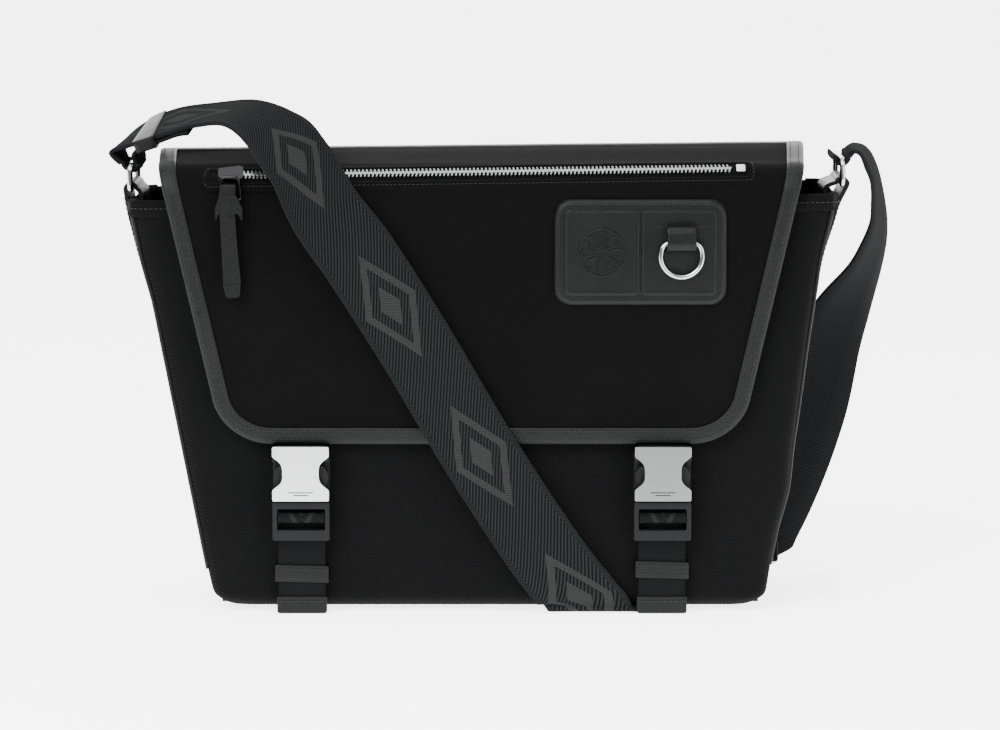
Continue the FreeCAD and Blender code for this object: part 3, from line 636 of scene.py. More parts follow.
def body_shell():
    """The body's cloth: a flat base, a rolled foot, then the walls. Gives its rows of points."""
    rows = []
    for part in (0.02, 0.2, 0.4, 0.6, 0.8, 0.92):
        rows.append([mm(x * part + 0.8, y * part, base_rise(x * part, y * part))
                     for x, y in body_ring(0, BASE_ROUND)])
    for angle in span(0, math.pi / 2, 7):
        level = BASE_HEIGHT * (1 - math.cos(angle))
        fade = 1 - smooth(level / BASE_HEIGHT)
        rows.append([mm(x + lean(level), y, level + base_rise(x, y) * fade)
                     for x, y in body_ring(level, BASE_ROUND * (1 - math.sin(angle)))])
    for z in span(BASE_HEIGHT, MOUTH, SHELL_LEVELS)[1:]:
        row = []
        for x, y in body_ring(z, 0):
            out = sag(x, y, z) * math.copysign(1, y) if abs(y) >= 49 else 0
            inward = math.copysign(gusset_fold(x, y, z), x)
            slump = 2.2 * smooth((abs(x) - 150) / 30) * smooth(1 - abs(y) / 50) * smooth((z - 150) / 60)
            row.append(mm(x - inward + lean(z), y + out, z + tall(x, z) - slump))
        rows.append(row)
    mesh = capped(grid_mesh("body_shell", rows, closed=True), 0.01)
    shell = finish_mesh("body_shell", mesh, None, "twill",
                        ("front_panel", "back_panel", "left_gusset", "right_gusset", "base_panel"))
    thicken(shell, 2.2)
    subdivide(shell, 1)
    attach(shell, "bag")
    return rows


def back_tongue():
    """The back panel's raised middle, which the flap is sewn to."""
    half = FLAP_HALF + BACK_FLARE - 1
    low, high = MOUTH - 14, edge("back_panel", 1, "z") + 0.6
    rows = []
    for rise in span(0, 1, 6):
        z = mix(low, high, rise)
        rows.append([mm(x, BACK + 0.2 + 0.5 * math.sin(x * 0.12) * rise, z + tall(x, z))
                     for x in (at + FLAP_SHIFT for at in span(-half, half, 60))])
    tongue = finish_mesh("back_tongue", grid_mesh("back_tongue", rows), None, "twill")
    thicken(tongue, 2.4, 1)
    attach(tongue, "bag")


FOOT_ROW = 15
HEM_PROFILE = ((8.0, 0.25), (7.8, 0.75), (4.0, 0.85), (0.4, 0.85), (-0.6, 0.3), (-0.7, -1.2), (-0.4, -2.7),
               (4.0, -3.0), (8.0, -2.8))


def seams_and_hem(rows):
    """Piped seams down the body's four corners, the mouth's hem and its stitches."""
    rim = rows[-1]
    for index, (sx, sy) in enumerate(((-1, -1), (1, -1), (1, 1), (-1, 1))):
        corner = mm(sx * TOP_HALF + lean(MOUTH), sy * 50).xy
        column = min(range(RING_POINTS), key=lambda k: (rim[k].xy - corner).length)
        path = [row[column] for row in rows[FOOT_ROW:]]
        path = [p + mm(math.copysign(0.3, p.x), math.copysign(0.3, p.y), 0) for p in path]
        tube(f"corner_piping_{index}", path, 1.1 * MM, "bag", "edge_paint", 10)
    behind = under_flap(rim)
    start = max(behind, key=lambda k: -rim[k].x) + 1
    order = [(start + k) % RING_POINTS for k in range(RING_POINTS)]
    front = [k for k in order if k not in behind]
    outward = []
    for k in front:
        along = (rim[(k + 1) % RING_POINTS] - rim[k - 1]).normalized()
        outward.append(Vector((along.y, -along.x, 0)).normalized())

    def beside(drop, out):
        return [rim[k] + side * out * MM - mm(0, 0, drop) for k, side in zip(front, outward)]

    mesh = grid_mesh("mouth_hem_tape", [beside(drop, out) for drop, out in HEM_PROFILE])
    hem = finish_mesh("mouth_hem_tape", mesh, None, "twill", ("mouth_hem",))
    thicken(hem, 0.3)
    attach(hem, "bag")
    path = beside(3.6, 0.95)
    stitches("hem_stitches", [path], [nearest(path, outward)], "bag")


def under_flap(rim):
    """The places along the mouth's rim that the flap's back covers."""
    half = (FLAP_HALF + BACK_FLARE - 1) * MM
    return [k for k, point in enumerate(rim) if point.y > 0.0485 and abs(point.x - FLAP_SHIFT * MM) < half]


def inside():
    """The stiff base board keeps its CAD shape; the slip pocket gets a bound top edge."""
    x0, x1, _, y1, z0, z1 = extent("inner_slip_pocket")
    rows = []
    for rise in span(0, 1, 14):
        belly = 2.4 * math.sin(math.pi * rise * 0.55)
        rows.append([mm(mix(x0, x1, t), y1 - 1.2 - belly * math.sin(math.pi * t), mix(z0, z1, rise))
                     for t in span(0, 1, 40)])
    pocket = finish_mesh("slip_pocket_cloth", grid_mesh("slip_pocket", rows), None, "lining",
                         ("inner_slip_pocket",))
    thicken(pocket, 1.0)
    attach(pocket, "bag")
    tube("slip_pocket_edge", rows[-1], 1.3 * MM, "bag", "binding", 8)
    give_material("base_board", "board")


def give_material(node, material):
    obj = NODES[node]
    obj.data.materials.clear()
    obj.data.materials.append(MATERIALS[material])


# ---------------------------------------------------------------- flap

ARC = SHOULDER * math.pi / 2
TOP_RUN = 50 - (SHOULDER + FLAP_FACE)
FRONT_RUN = FLAP_TOP - SHOULDER - FLAP_BOTTOM


def flap_profile(s):
    """(y, z, normal y, normal z) at a distance s in millimetres from the back seam, over the outside."""
    if s < TOP_RUN:
        t = s / TOP_RUN
        dome = 2.4 * math.sin(math.pi * t) ** 1.2 - 1.6 * (1 - t) ** 3
        return 50 - s, FLAP_TOP + dome, 0.0, 1.0
    if s < TOP_RUN + ARC:
        angle = (s - TOP_RUN) / SHOULDER
        ny, nz = -math.sin(angle), math.cos(angle)
        return FLAP_FACE + SHOULDER + SHOULDER * ny, FLAP_TOP - SHOULDER + SHOULDER * nz, ny, nz
    return FLAP_FACE, FLAP_TOP - SHOULDER - (s - TOP_RUN - ARC), -1.0, 0.0


FLAP_RUN = TOP_RUN + ARC + FRONT_RUN


def flap_edge_half(s, inset=0.0):
    """Half-width of the flap at a distance from the back seam, with rounded lower corners."""
    _, z, _, _ = flap_profile(s)
    slope = (FLAP_HALF - FLAP_TIP_HALF) / (FLAP_TOP - FLAP_BOTTOM)
    half = min(FLAP_TIP_HALF + slope * (z - FLAP_BOTTOM), FLAP_HALF) - inset
    half += BACK_FLARE * max(1 - s / TOP_RUN, 0)
    left = FLAP_RUN - inset - s
    radius = CORNER - inset
    if left < radius:
        half -= radius - math.sqrt(max(radius ** 2 - (radius - max(left, 0)) ** 2, 0))
    return half


def flap_wave(x, s):
    """Soft unevenness of the flap's cloth in millimetres."""
    wave = noise.noise(Vector((x / 55, s / 45, 3))) * 0.55 + noise.noise(Vector((x / 20, s / 26, 9))) * 0.18
    seam = smooth((s - TOP_RUN - ARC - 2) / 30) * smooth((FLAP_RUN - s - 12) / 30)
    return wave * seam


def flap_rise(x, y):
    """The flap's top follows the taller right end of the bag; its shoulder and front do not."""
    return tall(x, FLAP_TOP) * smooth((y + 42) / 40)


def flap_point(x, s):
    y, z, ny, nz = flap_profile(s)
    lift = flap_wave(x, s)
    return mm(x + FLAP_SHIFT, y + ny * lift, z + nz * lift + flap_rise(x, y))


def flap_cloth(name, start, end, replaced):
    steps = max(int((end - start) / 3.2), 4)
    rows = []
    for s in span(start, end, steps):
        half = flap_edge_half(min(s, FLAP_RUN - 0.8), 1.2)
        rows.append([flap_point(half * across, s) for across in span(-1, 1, 100)])
    cloth = finish_mesh(name, grid_mesh(name, rows), None, "nylon", replaced)
    thicken(cloth, 2.6, -1 if grid_faces_out(cloth) else 1)
    apply_modifiers(cloth)
    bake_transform(cloth)


def grid_faces_out(obj):
    """True if the mesh's normals point away from the bag's middle."""
    middle = Vector((0, 0, 0.12))
    return sum(p.normal.dot(p.center - middle) * p.area for p in obj.data.polygons) > 0


def apply_modifiers(obj):
    bpy.context.view_layer.update()
    graph = bpy.context.evaluated_depsgraph_get()
    mesh = bpy.data.meshes.new_from_object(obj.evaluated_get(graph))
    obj.modifiers.clear()
    obj.data = mesh


MIDDLE_TOP = 50.0


def edge_path(start, end, side):
    """(point, inward, normal) along one side edge of the flap."""
    found = []
    for s in span(start, end, max(int((end - start) / 2.5), 4)):
        y, z, ny, nz = flap_profile(s)
        x = side * flap_edge_half(s)
        found.append((mm(x + FLAP_SHIFT, y, z + flap_rise(x, y)), Vector((-side, 0, 0)), Vector((0, ny, nz))))
    return found


def front_border():
    """The flap's border from the middle of its top, down one side, along the bottom and up the other."""
    turn_at = FLAP_RUN - CORNER
    reach = FLAP_TIP_HALF - CORNER
    sides = []
    for side in (-1, 1):
        run = edge_path(MIDDLE_TOP, turn_at, side)
        for t in span(0, 1, 12)[1:]:
            angle = math.pi / 2 * t
            x = side * (mix(flap_edge_half(turn_at) - CORNER, reach, t) + CORNER * math.cos(angle))
            z = FLAP_BOTTOM + CORNER - CORNER * math.sin(angle)
            inward = Vector((-side * math.cos(angle), 0, math.sin(angle)))
            run.append((mm(x + FLAP_SHIFT, FLAP_FACE, z), inward, OUT))
        sides.append(run)
    bottom = [(mm(x + FLAP_SHIFT, FLAP_FACE, FLAP_BOTTOM), Vector((0, 0, 1)), OUT)
              for x in span(-reach, reach, 72)[1:-1]]
    return sides[0] + bottom + list(reversed(sides[1]))


# The binding's section: millimetres in from the flap's edge, and out from its face.
BINDING_PROFILE = ((8.0, 0.0), (8.0, 0.75), (7.7, 1.05), (7.0, 1.2), (4.0, 1.3), (1.0, 1.2), (-0.1, 0.9),
                   (-0.7, 0.2), (-0.9, -0.9), (-0.7, -2.0), (-0.1, -2.8), (1.0, -3.2), (7.5, -3.2),
                   (8.0, -2.9), (8.0, -2.2))


def sweep_band(name, border):
    """The binding's section carried along a border of (point, inward, normal)."""
    rows = []
    for point, inward, normal in border:
        puff = 1 + 0.06 * noise.noise(point * 90)
        rows.append([point + inward * a * MM + normal * b * puff * MM for a, b in BINDING_PROFILE])
    return finish_mesh(name, capped(grid_mesh(name, rows, closed=True)), None, "binding")


def flap():
    flap_cloth("flap_top_cloth", 0, MIDDLE_TOP, ("flap_top_panel",))
    flap_cloth("flap_front_cloth", MIDDLE_TOP, FLAP_RUN - 0.5,
               ("flap_front_panel", "flap_lining", "zip_pocket_bag"))
    border = front_border()
    band = sweep_band("flap_binding_leather", border)
    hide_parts("flap_binding")
    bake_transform(band)
    normals = [normal for _, _, normal in border]
    for inset, tag in ((1.9, "outer"), (6.2, "inner")):
        path = [p + inward * inset * MM + normal * 1.2 * MM for p, inward, normal in border]
        row = stitches(f"binding_stitches_{tag}", [path], [nearest(path, normals)], None)
        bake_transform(row)
    for side, tag in ((-1, "left"), (1, "right")):
        strip = sweep_band(f"flap_top_binding_{tag}", edge_path(0, MIDDLE_TOP, side)[::-side])
        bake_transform(strip)
    back_seam()


def back_seam():
    """The bound seam that joins the flap to the back panel."""
    half = FLAP_HALF + BACK_FLARE
    rows = []
    for back, up in ((1.5, -6.0), (2.9, -5.6), (3.1, 0.0), (2.3, 2.6), (0.0, 3.2), (-8.0, 3.0), (-9.0, 2.2)):
        rows.append([mm(x + FLAP_SHIFT, 50 + back, 233.0 + up * 0.8 + flap_rise(x, 50))
                     for x in span(-half, half, 90)])
    seam = finish_mesh("flap_back_seam", grid_mesh("flap_back_seam", rows), None, "binding",
                       ("flap_back_binding",))
    thicken(seam, 0.9)
    apply_modifiers(seam)
    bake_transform(seam)


# ---------------------------------------------------------------- zip

ZIP_LEAN = math.radians(45)
ZIP_TILT = math.radians(1)
ZIP_LENGTH = 276
ZIP_LEFT = -143
SLIDER_AT = 9
TEETH_FROM = SLIDER_AT + 3


def zip_matrix():
    """The zip's frame as in the CAD: X along the teeth, -Y out of the shoulder, Z up the flap, in metres."""
    turn = Matrix.Rotation(-ZIP_LEAN, 4, "X") @ Matrix.Rotation(-ZIP_TILT, 4, "Y")
    middle = mm(ZIP_LEFT + ZIP_LENGTH / 2,
                FLAP_FACE + SHOULDER - SHOULDER * math.cos(ZIP_LEAN),
                FLAP_TOP - SHOULDER + SHOULDER * math.sin(ZIP_LEAN))
    start = middle - turn @ mm(ZIP_LENGTH / 2, 0, 0)
    return Matrix.Translation(start) @ turn


def zip_piece(name, mesh, body, material, replaced=(), bevel=0.0):
    mesh.transform(zip_matrix())
    return finish_mesh(name, mesh, body, material, replaced, bevel)


TOOTH = ((-0.5, -1.8), (0.5, -1.8), (0.5, 0.2), (0.85, 0.7), (0.6, 1.4), (-0.6, 1.4), (-0.85, 0.7),
         (-0.5, 0.2))
TOOTH_PITCH = 2.05


def zip_teeth():
    """Two rows of interlocked teeth: each tooth has a leg and a rounded head."""
    meshes = []
    for k in range(int((ZIP_LENGTH - 7 - TEETH_FROM) / TOOTH_PITCH)):
        for row, sign in enumerate((-1, 1)):
            x = TEETH_FROM + (k + row * 0.5) * TOOTH_PITCH
            outline = [(x + a * 0.92 + b * 0.25, sign * (b - 0.6)) for a, b in TOOTH]
            meshes.append(prism("tooth", outline, -2.15, -0.35))
    mesh = joined_mesh("zip_teeth_metal", meshes)
    zip_piece("zip_teeth_metal", mesh, "flap_front", "teeth", ("zip_teeth",), 0.18)


def slot_point(x, up, out):
    """A point of the zip's frame laid on the rounded shoulder."""
    return mm(x, up ** 2 / (2 * SHOULDER) - out, up)


def slot_loop(reach):
    """A rounded rectangle round the zip, reach millimetres from its middle line, as (x, up) pairs."""
    outline = rectangle(2 - reach, ZIP_LENGTH + reach - 3, -reach, reach, 2.6, 6)
    loop = []
    for k, (x, up) in enumerate(outline):
        nx, nu = outline[(k + 1) % len(outline)]
        pieces = max(int(math.hypot(nx - x, nu - up) / 3), 1)
        loop += [(mix(x, nx, t / pieces), mix(up, nu, t / pieces)) for t in range(pieces)]
    return loop


SLOT_REACH = 4.2
# The slot's lip: millimetres from the zip's middle line, and out of the shoulder.
LIP_PROFILE = ((4.2, 0.1), (4.2, 0.65), (4.7, 0.95), (5.6, 0.9), (6.8, 0.6), (7.6, 0.0), (7.8, -0.6))


def zip_parts():
    """Tape in a bound slot, teeth, stops, slider, bail and leather puller."""
    matrix = zip_matrix()
    rows = [[matrix @ slot_point(x, up, 0.15) for x in range(-2, ZIP_LENGTH + 3, 3)]
            for up in span(-4.8, 4.8, 4)]
    finish_mesh("zip_tape_cloth", grid_mesh("zip_tape_cloth", rows), "flap_front", "tape",
                ("zip_tape_upper", "zip_tape_lower"))
    loop = slot_loop(SLOT_REACH)
    lip = []
    for reach, out in LIP_PROFILE:
        grow = reach - SLOT_REACH
        ring = []
        for k, (x, up) in enumerate(loop):
            along = (Vector(loop[(k + 1) % len(loop)]) - Vector(loop[k - 1])).normalized()
            ring.append(matrix @ slot_point(x + along.y * grow, up - along.x * grow, out))
        lip.append(ring)
    mesh = grid_mesh("zip_slot_lip", lip, closed=True)
    finish_mesh("zip_slot_lip", mesh, "flap_front", "nylon")
    path = [matrix @ slot_point(x, up, 0.72) for x, up in slot_loop(6.3)]
    stitches("zip_slot_stitches", [path], [matrix.to_3x3() @ OUT], "flap_front", 2.3, 1.6, 0.42)
    zip_teeth()
    end, start = ZIP_LENGTH - 0.8, TEETH_FROM - 7
    stops = [prism("stop", rectangle(end - 4.7, end, -2.3, 2.3, 0.7, 3), -2.4, -0.3),
             prism("start", rectangle(start - 2, start, -2, 2, 0.5, 3), -2.0, -0.3)]
    zip_piece("zip_end_stop_metal", joined_mesh("zip_end_stop_metal", stops), "flap_front",
              "polished", ("zip_end_stop",), 0.25)
    slider_and_bail()
    puller()


def slider_and_bail():
    """A shield-shaped slider, with a bridge on its inner side, and the wire bail that hangs from it."""
    x = SLIDER_AT
    shield = rounded([(x - 6.5, -3.0), (x + 4.5, -4.6), (x + 6.5, -3.4), (x + 6.5, 3.4), (x + 4.5, 4.6),
                      (x - 6.5, 3.0)], 1.2, 4)
    bridge = prism("bridge", rounded([(x - 5.0, -3.9), (x - 4.2, -6.0), (x + 3.2, -6.0), (x + 4.4, -3.9),
                                      (x + 3.0, -3.9), (x + 2.2, -5.0), (x - 3.2, -5.0),
                                      (x - 3.6, -3.9)], 0.5, 3), -1.1, 1.1)
    inwards = Matrix(((1, 0, 0, 0), (0, 0, -1, 0), (0, -1, 0, 0), (0, 0, 0, 1)))
    bridge.transform(inwards)
    mesh = joined_mesh("zip_slider_metal", [
        prism("upper", shield, -3.9, -2.6), prism("lower", [(a, b * 0.92) for a, b in shield], -0.2, -0.05),
        block("post", (x + 3.4, -3.0, -0.8), (x + 5.4, -0.1, 0.8)), bridge])
    zip_piece("zip_slider_metal", mesh, "zip_slider", "dark_metal", ("zip_slider",), 0.35)
    x0, x1, y0, y1, z0, z1 = extent("zip_bail")
    middle, y, half = (x0 + x1) / 2, (y0 + y1) / 2, (x1 - x0) / 2
    outline = rounded([(-half * 0.8, z1 + 0.4), (half * 0.8, z1 + 0.4), (half, z0 + 0.5),
                       (-half, z0 + 0.5)], 2.2, 6)
    path = [mm(middle + dx, y - 0.36 * smooth((z - z0) / (z1 - z0)), z) for dx, z in outline]
    tube("zip_bail_wire", path, 0.85 * MM, "zip_bail", "dark_metal", 12, True, ("zip_bail",))


def puller():
    """A long tapering leather pull: a folded loop through the bail, a winged collar and a blade."""
    x0, x1, front, back, bottom, top = extent("zip_puller")
    x = (x0 + x1) / 2
    blade = ((-5.6, top - 10.5), (2.4, top - 10.5), (3.9, top - 34), (5.4, bottom + 9), (4.8, bottom + 0.6),
             (-2.2, bottom), (-3.6, bottom + 6), (-4.4, top - 34))
    fold = ((-5.0, top + 1.0), (3.2, top + 1.0), (3.0, top - 10), (-5.2, top - 10))
    collar = ((-5.2, top - 4.5), (3.0, top - 4.5), (6.6, top - 11), (6.4, top - 18.5), (4.2, top - 14),
              (-6.0, top - 14), (-7.6, top - 18.5), (-7.6, top - 11))
    end = ((-2.6, bottom + 1.2), (4.4, bottom + 1.6), (4.9, bottom + 7.4), (-3.3, bottom + 7.0))
    for tag, outline, radius, steps, near, far, bevel in (
            ("blade", blade, 2.4, 6, front + 0.5, back - 0.6, 1.5),
            ("fold", fold, 0.9, 4, front + 0.6, front + 4.4, 1.2),
            ("collar", collar, 1.1, 4, front - 0.1, back - 0.2, 0.7),
            ("end", end, 0.8, 3, front + 0.1, front + 1.4, 0.45)):
        mesh = prism(tag, rounded([(x + a, z) for a, z in outline], radius, steps), near, far)
        finish_mesh(f"zip_puller_{tag}", mesh, "zip_puller", "leather",
                    ("zip_puller",) if tag == "blade" else (), bevel)
    row = [mm(a, front + 0.42, top - 16.6) for a in span(x - 4.2, x + 2.4, 6)]
    stitches("zip_puller_stitches", [row], [OUT], "zip_puller", 1.5, 1.0, 0.4)


# ---------------------------------------------------------------- patch


def cushion(name, box, back, proud, radius, replaced, edge_soft, cells):
    """A rounded rectangle of padded leather on the flap, rolled at its edges. box is x0, x1, z0, z1."""
    x0, x1, z0, z1 = box
    rows = []
    for v in span(-1, 1, cells):
        row = []
        for u in span(-1, 1, cells):
            x = mix(x0, x1, (math.sin(u * math.pi / 2) + 1) / 2)
            z = mix(z0, z1, (math.sin(v * math.pi / 2) + 1) / 2)
            cx = min(max(x, x0 + radius), x1 - radius)
            cz = min(max(z, z0 + radius), z1 - radius)
            away = math.hypot(x - cx, z - cz)
            if away > radius:
                x, z = cx + (x - cx) * radius / away, cz + (z - cz) * radius / away
                away = radius
            near = min(radius - away if away > 0 else math.inf, x - x0, x1 - x, z - z0, z1 - z)
            roll = math.sqrt(max(1 - (1 - min(near / edge_soft, 1)) ** 2, 0))
            row.append(mm(x, back - proud * roll, z))
        rows.append(row)
    mesh = grid_mesh(name, rows)
    work = bmesh.new()
    work.from_mesh(mesh)
    bmesh.ops.remove_doubles(work, verts=work.verts, dist=1e-6)
    made = bmesh.ops.extrude_edge_only(work, edges=[e for e in work.edges if e.is_boundary])
    for vert in (v for v in made["geom"] if isinstance(v, bmesh.types.BMVert)):
        vert.co.y = (back + 0.4) * MM
    finish_mesh(name, write_outward(work, mesh), "flap_front", "leather", (replaced,))


def patch():
    x0, x1, _, _, z0, z1 = extent("patch_base")
    y = FLAP_FACE
    cushion("patch_pad", (x0, x1, z0, z1), y, 2.6, 9.5, "patch_base", 3.2, 44)
    middle = (x0 + x1) / 2
    inset = 5.2
    for tag, a, b in (("left", x0 + inset, middle - 0.25), ("right", middle + 0.25, x1 - inset)):
        box = (a, b, z0 + inset, z1 - inset)
        cushion(f"patch_panel_{tag}", box, y - 2.2, 1.0, 3.4, f"patch_{tag}_inlay", 1.0, 30)

    def seam(gap, out, radius):
        outline = rectangle(x0 + gap, x1 - gap, z0 + gap, z1 - gap, radius, 8)
        return [mm(x, y - out, z) for x, z in outline + outline[:1]]

    divider = [[mm(middle + s * 1.3, y - 3.25, z0 + inset + 2 + k * 2.0) for k in range(21)] for s in (-1, 1)]
    stitches("patch_stitches", [seam(inset + 1.5, 3.25, 3.0)] + divider, [OUT] * 3, "flap_front",
             2.3, 1.6, 0.45)
    stitches("patch_edge_stitches", [seam(2.6, 2.45, 8)], [OUT], "flap_front", 2.3, 1.6, 0.42)
    rosette((x0 + inset + middle) / 2, (z0 + z1) / 2, y - 3.4)
    bar_y, bar_z = d_ring()
    ring_loop(bar_y, bar_z)


def circle(steps):
    return [2 * math.pi * k / steps for k in range(steps)]


def rosette(cx, cz, y):
    """A generic pressed motif: eight plain petals inside a ring, in low relief."""
    for index, radius in enumerate((12.2, 3.0)):
        path = [mm(cx + radius * math.cos(a), y, cz + radius * math.sin(a)) for a in circle(48)]
        tube(f"patch_motif_ring_{index}", path, 0.5 * MM, "flap_front", "leather", 8, True)
    for index, turn in enumerate(circle(8)):
        path = []
        for a in circle(24):
            along, across = 7.4 + 3.6 * math.cos(a), 2.0 * math.sin(a) * (1 + 0.25 * math.cos(a))
            path.append(mm(cx + along * math.cos(turn) - across * math.sin(turn), y,
                           cz + along * math.sin(turn) + across * math.cos(turn)))
        tube(f"patch_motif_petal_{index}", path, 0.46 * MM, "flap_front", "leather", 8, True)


def d_ring():
    """A half-round ring under a straight bar with two tight corners. Gives the bar's y and z."""
    x0, x1, y0, y1, _, z1 = extent("d_ring")
    y, wire = (y0 + y1) / 2, (y1 - y0) / 2
    middle, half, bar, corner = (x0 + x1) / 2, (x1 - x0) / 2 - wire, z1 - wire, 5.2
    path = []
    for cx, cz, radius, start, sweep, steps in (
            (middle, bar - 7, half, math.pi, math.pi, 24),
            (middle + half - corner, bar - corner, corner, 0, math.pi / 2, 6),
            (middle - half + corner, bar - corner, corner, math.pi / 2, math.pi / 2, 6)):
        for a in span(start, start + sweep, steps):
            path.append(mm(cx + radius * math.cos(a), y, cz + radius * math.sin(a)))
    tube("d_ring_metal", path, wire * MM, "d_ring", "polished", 20, True, ("d_ring",))
    return y, bar


def ring_loop(y, z):
    """The leather tab folded over the D-ring's bar, which is at (y, z), and sewn to the patch."""
    x0, x1 = extent("ring_loop")[:2]
    base = FLAP_FACE - 3.2
    corners = ((base, z + 7.5), (y - 1.6, z + 7.5), (y - 2.6, z + 5.0), (y - 2.9, z), (y - 2.2, z - 2.6),
               (y - 0.2, z - 3.6), (base, z - 3.8))
    outline = [(mix(a[0], b[0], t), mix(a[1], b[1], t)) for a, b in zip(corners, corners[1:])
               for t in (0, 0.25, 0.5, 0.75)]
    rows = [[mm(x, a, b) for a, b in outline + [corners[-1]]] for x in (x0, x0 + 0.5, x1 - 0.5, x1)]
    mesh = grid_mesh("ring_loop", rows)
    piece = finish_mesh("ring_loop_leather", mesh, None, "leather", ("ring_loop",))
    thicken(piece, 1.2, 1)
    subdivide(piece, 2)
    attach(piece, "flap_front")
    row = [mm(x, base - 0.1, z + 8.6) for x in span(x0 - 6, x1 + 6, 12)]
    stitches("ring_loop_stitches", [row], [OUT], "flap_front", 2.3, 1.6, 0.45)


# ---------------------------------------------------------------- buckles and lower straps


# The back of a webbing reads its pattern this far to the side, in millimetres, where there is no motif.
PLAIN_SIDE = 200
ACROSS = Vector((1, 0, 0))


def webbing(name, frames, width, gauge, body, material, replaced=(), start=0.0, lip=0.22):
    """A flat strap: frames are (point, across, normal) with points in metres; the pattern runs along it."""
    half, thick = width / 2, gauge / 2
    top = [(-half, -thick * 0.3), (-half + 0.3, thick + lip * 0.8), (-half + 0.7, thick + lip),
           (-half * 0.87, thick + lip), (-half * 0.84, thick)]
    top += [(half * k / 6, thick) for k in range(-4, 5)]
    top += [(-a, b) for a, b in reversed(top[:5])]
    ring = top + [(a, -thick) for a in (half - 0.3, half / 2, 0, -half / 2, -half + 0.3)]
    rows, uvs, travelled = [], [], start
    for index, (point, across, normal) in enumerate(frames):
        if index:
            travelled += (point - frames[index - 1][0]).length
        rows.append([point + across * a * MM + normal * b * MM for a, b in ring])
        uvs.append([((a + (0 if k < len(top) else PLAIN_SIDE)) * MM, travelled)
                    for k, (a, _) in enumerate(ring)])
    mesh = capped(grid_mesh(name, rows, closed=True, uvs=uvs))
    return finish_mesh(name, mesh, body, material, replaced)


def smooth_line(points, per=8):
    """A Catmull-Rom line through Vectors."""
    line = []
    for k in range(len(points) - 1):
        a, b = points[max(k - 1, 0)], points[k]
        c, d = points[k + 1], points[min(k + 2, len(points) - 1)]
        for step in range(per):
            t = step / per
            line.append(0.5 * (2 * b + (c - a) * t + (2 * a - 5 * b + 4 * c - d) * t * t
                               + (3 * b - a - 3 * c + d) * t ** 3))
    line.append(points[-1].copy())
    return line


def upright_frames(points):
    """Frames for a strap that stays parallel to X; points are (x, y, z) in millimetres."""
    line = smooth_line([mm(*point) for point in points])
    return [(point, ACROSS, ACROSS.cross(along).normalized()) for point, along in zip(line, directions(line))]


def waist_outline(cx, z0, z1, half, waist):
    """A buckle plate: straight top and foot with a concave bite in each side."""
    corner = 1.4
    height = z1 - z0
    side = [(half - corner * 0.3, z0), (half, z0 + corner * 0.5), (half, z0 + height * 0.12)]
    for t in span(0, 1, 24):
        bite = (half - waist) * smooth(math.sin(math.pi * t) ** 0.72)
        side.append((half - bite, z0 + height * (0.20 + 0.62 * t)))
    side += [(half, z1 - height * 0.10), (half, z1 - corner * 0.4), (half - corner * 0.4, z1)]
    return [(cx + a, b) for a, b in side] + [(cx - a, b) for a, b in reversed(side)]


def frame_mesh(name, outer, inner, low, high, place):
    """A flat frame between two outlines of (a, b) points; place(a, b, depth) is a point in metres."""
    rows = [[place(a, b, depth) for a, b in outline]
            for outline, depth in ((inner, low), (outer, low), (outer, high), (inner, high), (inner, low))]
    return merged(grid_mesh(name, rows, closed=True))


def buckle(side):
    """One side-release buckle: metal face plate, black shell, plug with ladder frame and prongs."""
    x0, x1, front, back, z0, z1 = extent(f"{side}_face_plate")
    cx, half = (x0 + x1) / 2, (x1 - x0) / 2
    # The right plate takes the darker copy of the plate metal, which is painted shade; the left plate takes
    # the lit copy.
    plate = prism("plate", waist_outline(cx, z0 + 0.3, z1, half, 9.5), front, back)
    finish_mesh(f"{side}_plate_metal", plate, "flap_front", f"plate_{side}",
                (f"{side}_face_plate",), 0.35)
    plain_badge(side, cx, z0, front)
    socket(side, cx, z0, z1, half)
    plug(side, cx)
    lower_strap(side, cx)


def plain_badge(side, cx, z0, front):
    """A shallow engraved pair of bars where a maker would put a mark."""
    name = f"{side}_plate_bars"
    outlines = [rectangle(cx - reach, cx + reach, z0 + up, z0 + up + 0.55, 0.25, 3)
                for up, reach in ((4.6, 6.5), (3.2, 4.0))]
    bars = [prism("bar", outline, front - 0.04, front + 0.3) for outline in outlines]
    finish_mesh(name, joined_mesh(name, bars), "flap_front", "dark_metal")


def black_shell(name, meshes, body, node, bevel):
    finish_mesh(name, joined_mesh(name, meshes), body, "plastic", (node,), bevel)


def socket(side, cx, z0, z1, half):
    """The plastic shell behind the plate: two faces joined at the shoulders, open at the bites."""
    node = f"{side}_buckle_socket"
    front, back = extent(node)[2:4]
    near, far = front + 0.5, back - 0.5
    meshes = [prism("face", waist_outline(cx, z0 + 0.2, z1, half - 0.1, 9.8), front, front + 1.8),
              prism("rear", rectangle(cx - half, cx + half, z0, z1, 1.2, 4), back - 1.8, back)]
    for a in (cx - half, cx + half - 2.4):
        meshes.append(block("foot", (a, near, z0), (a + 2.4, far, z0 + 5.5)))
        meshes.append(block("head", (a, near, z1 - 8), (a + 2.4, far, z1)))
    meshes.append(block("cap", (cx - half, near, z1 - 5), (cx + half, far, z1)))
    black_shell(f"{side}_socket_shell", meshes, "flap_front", node, 0.3)


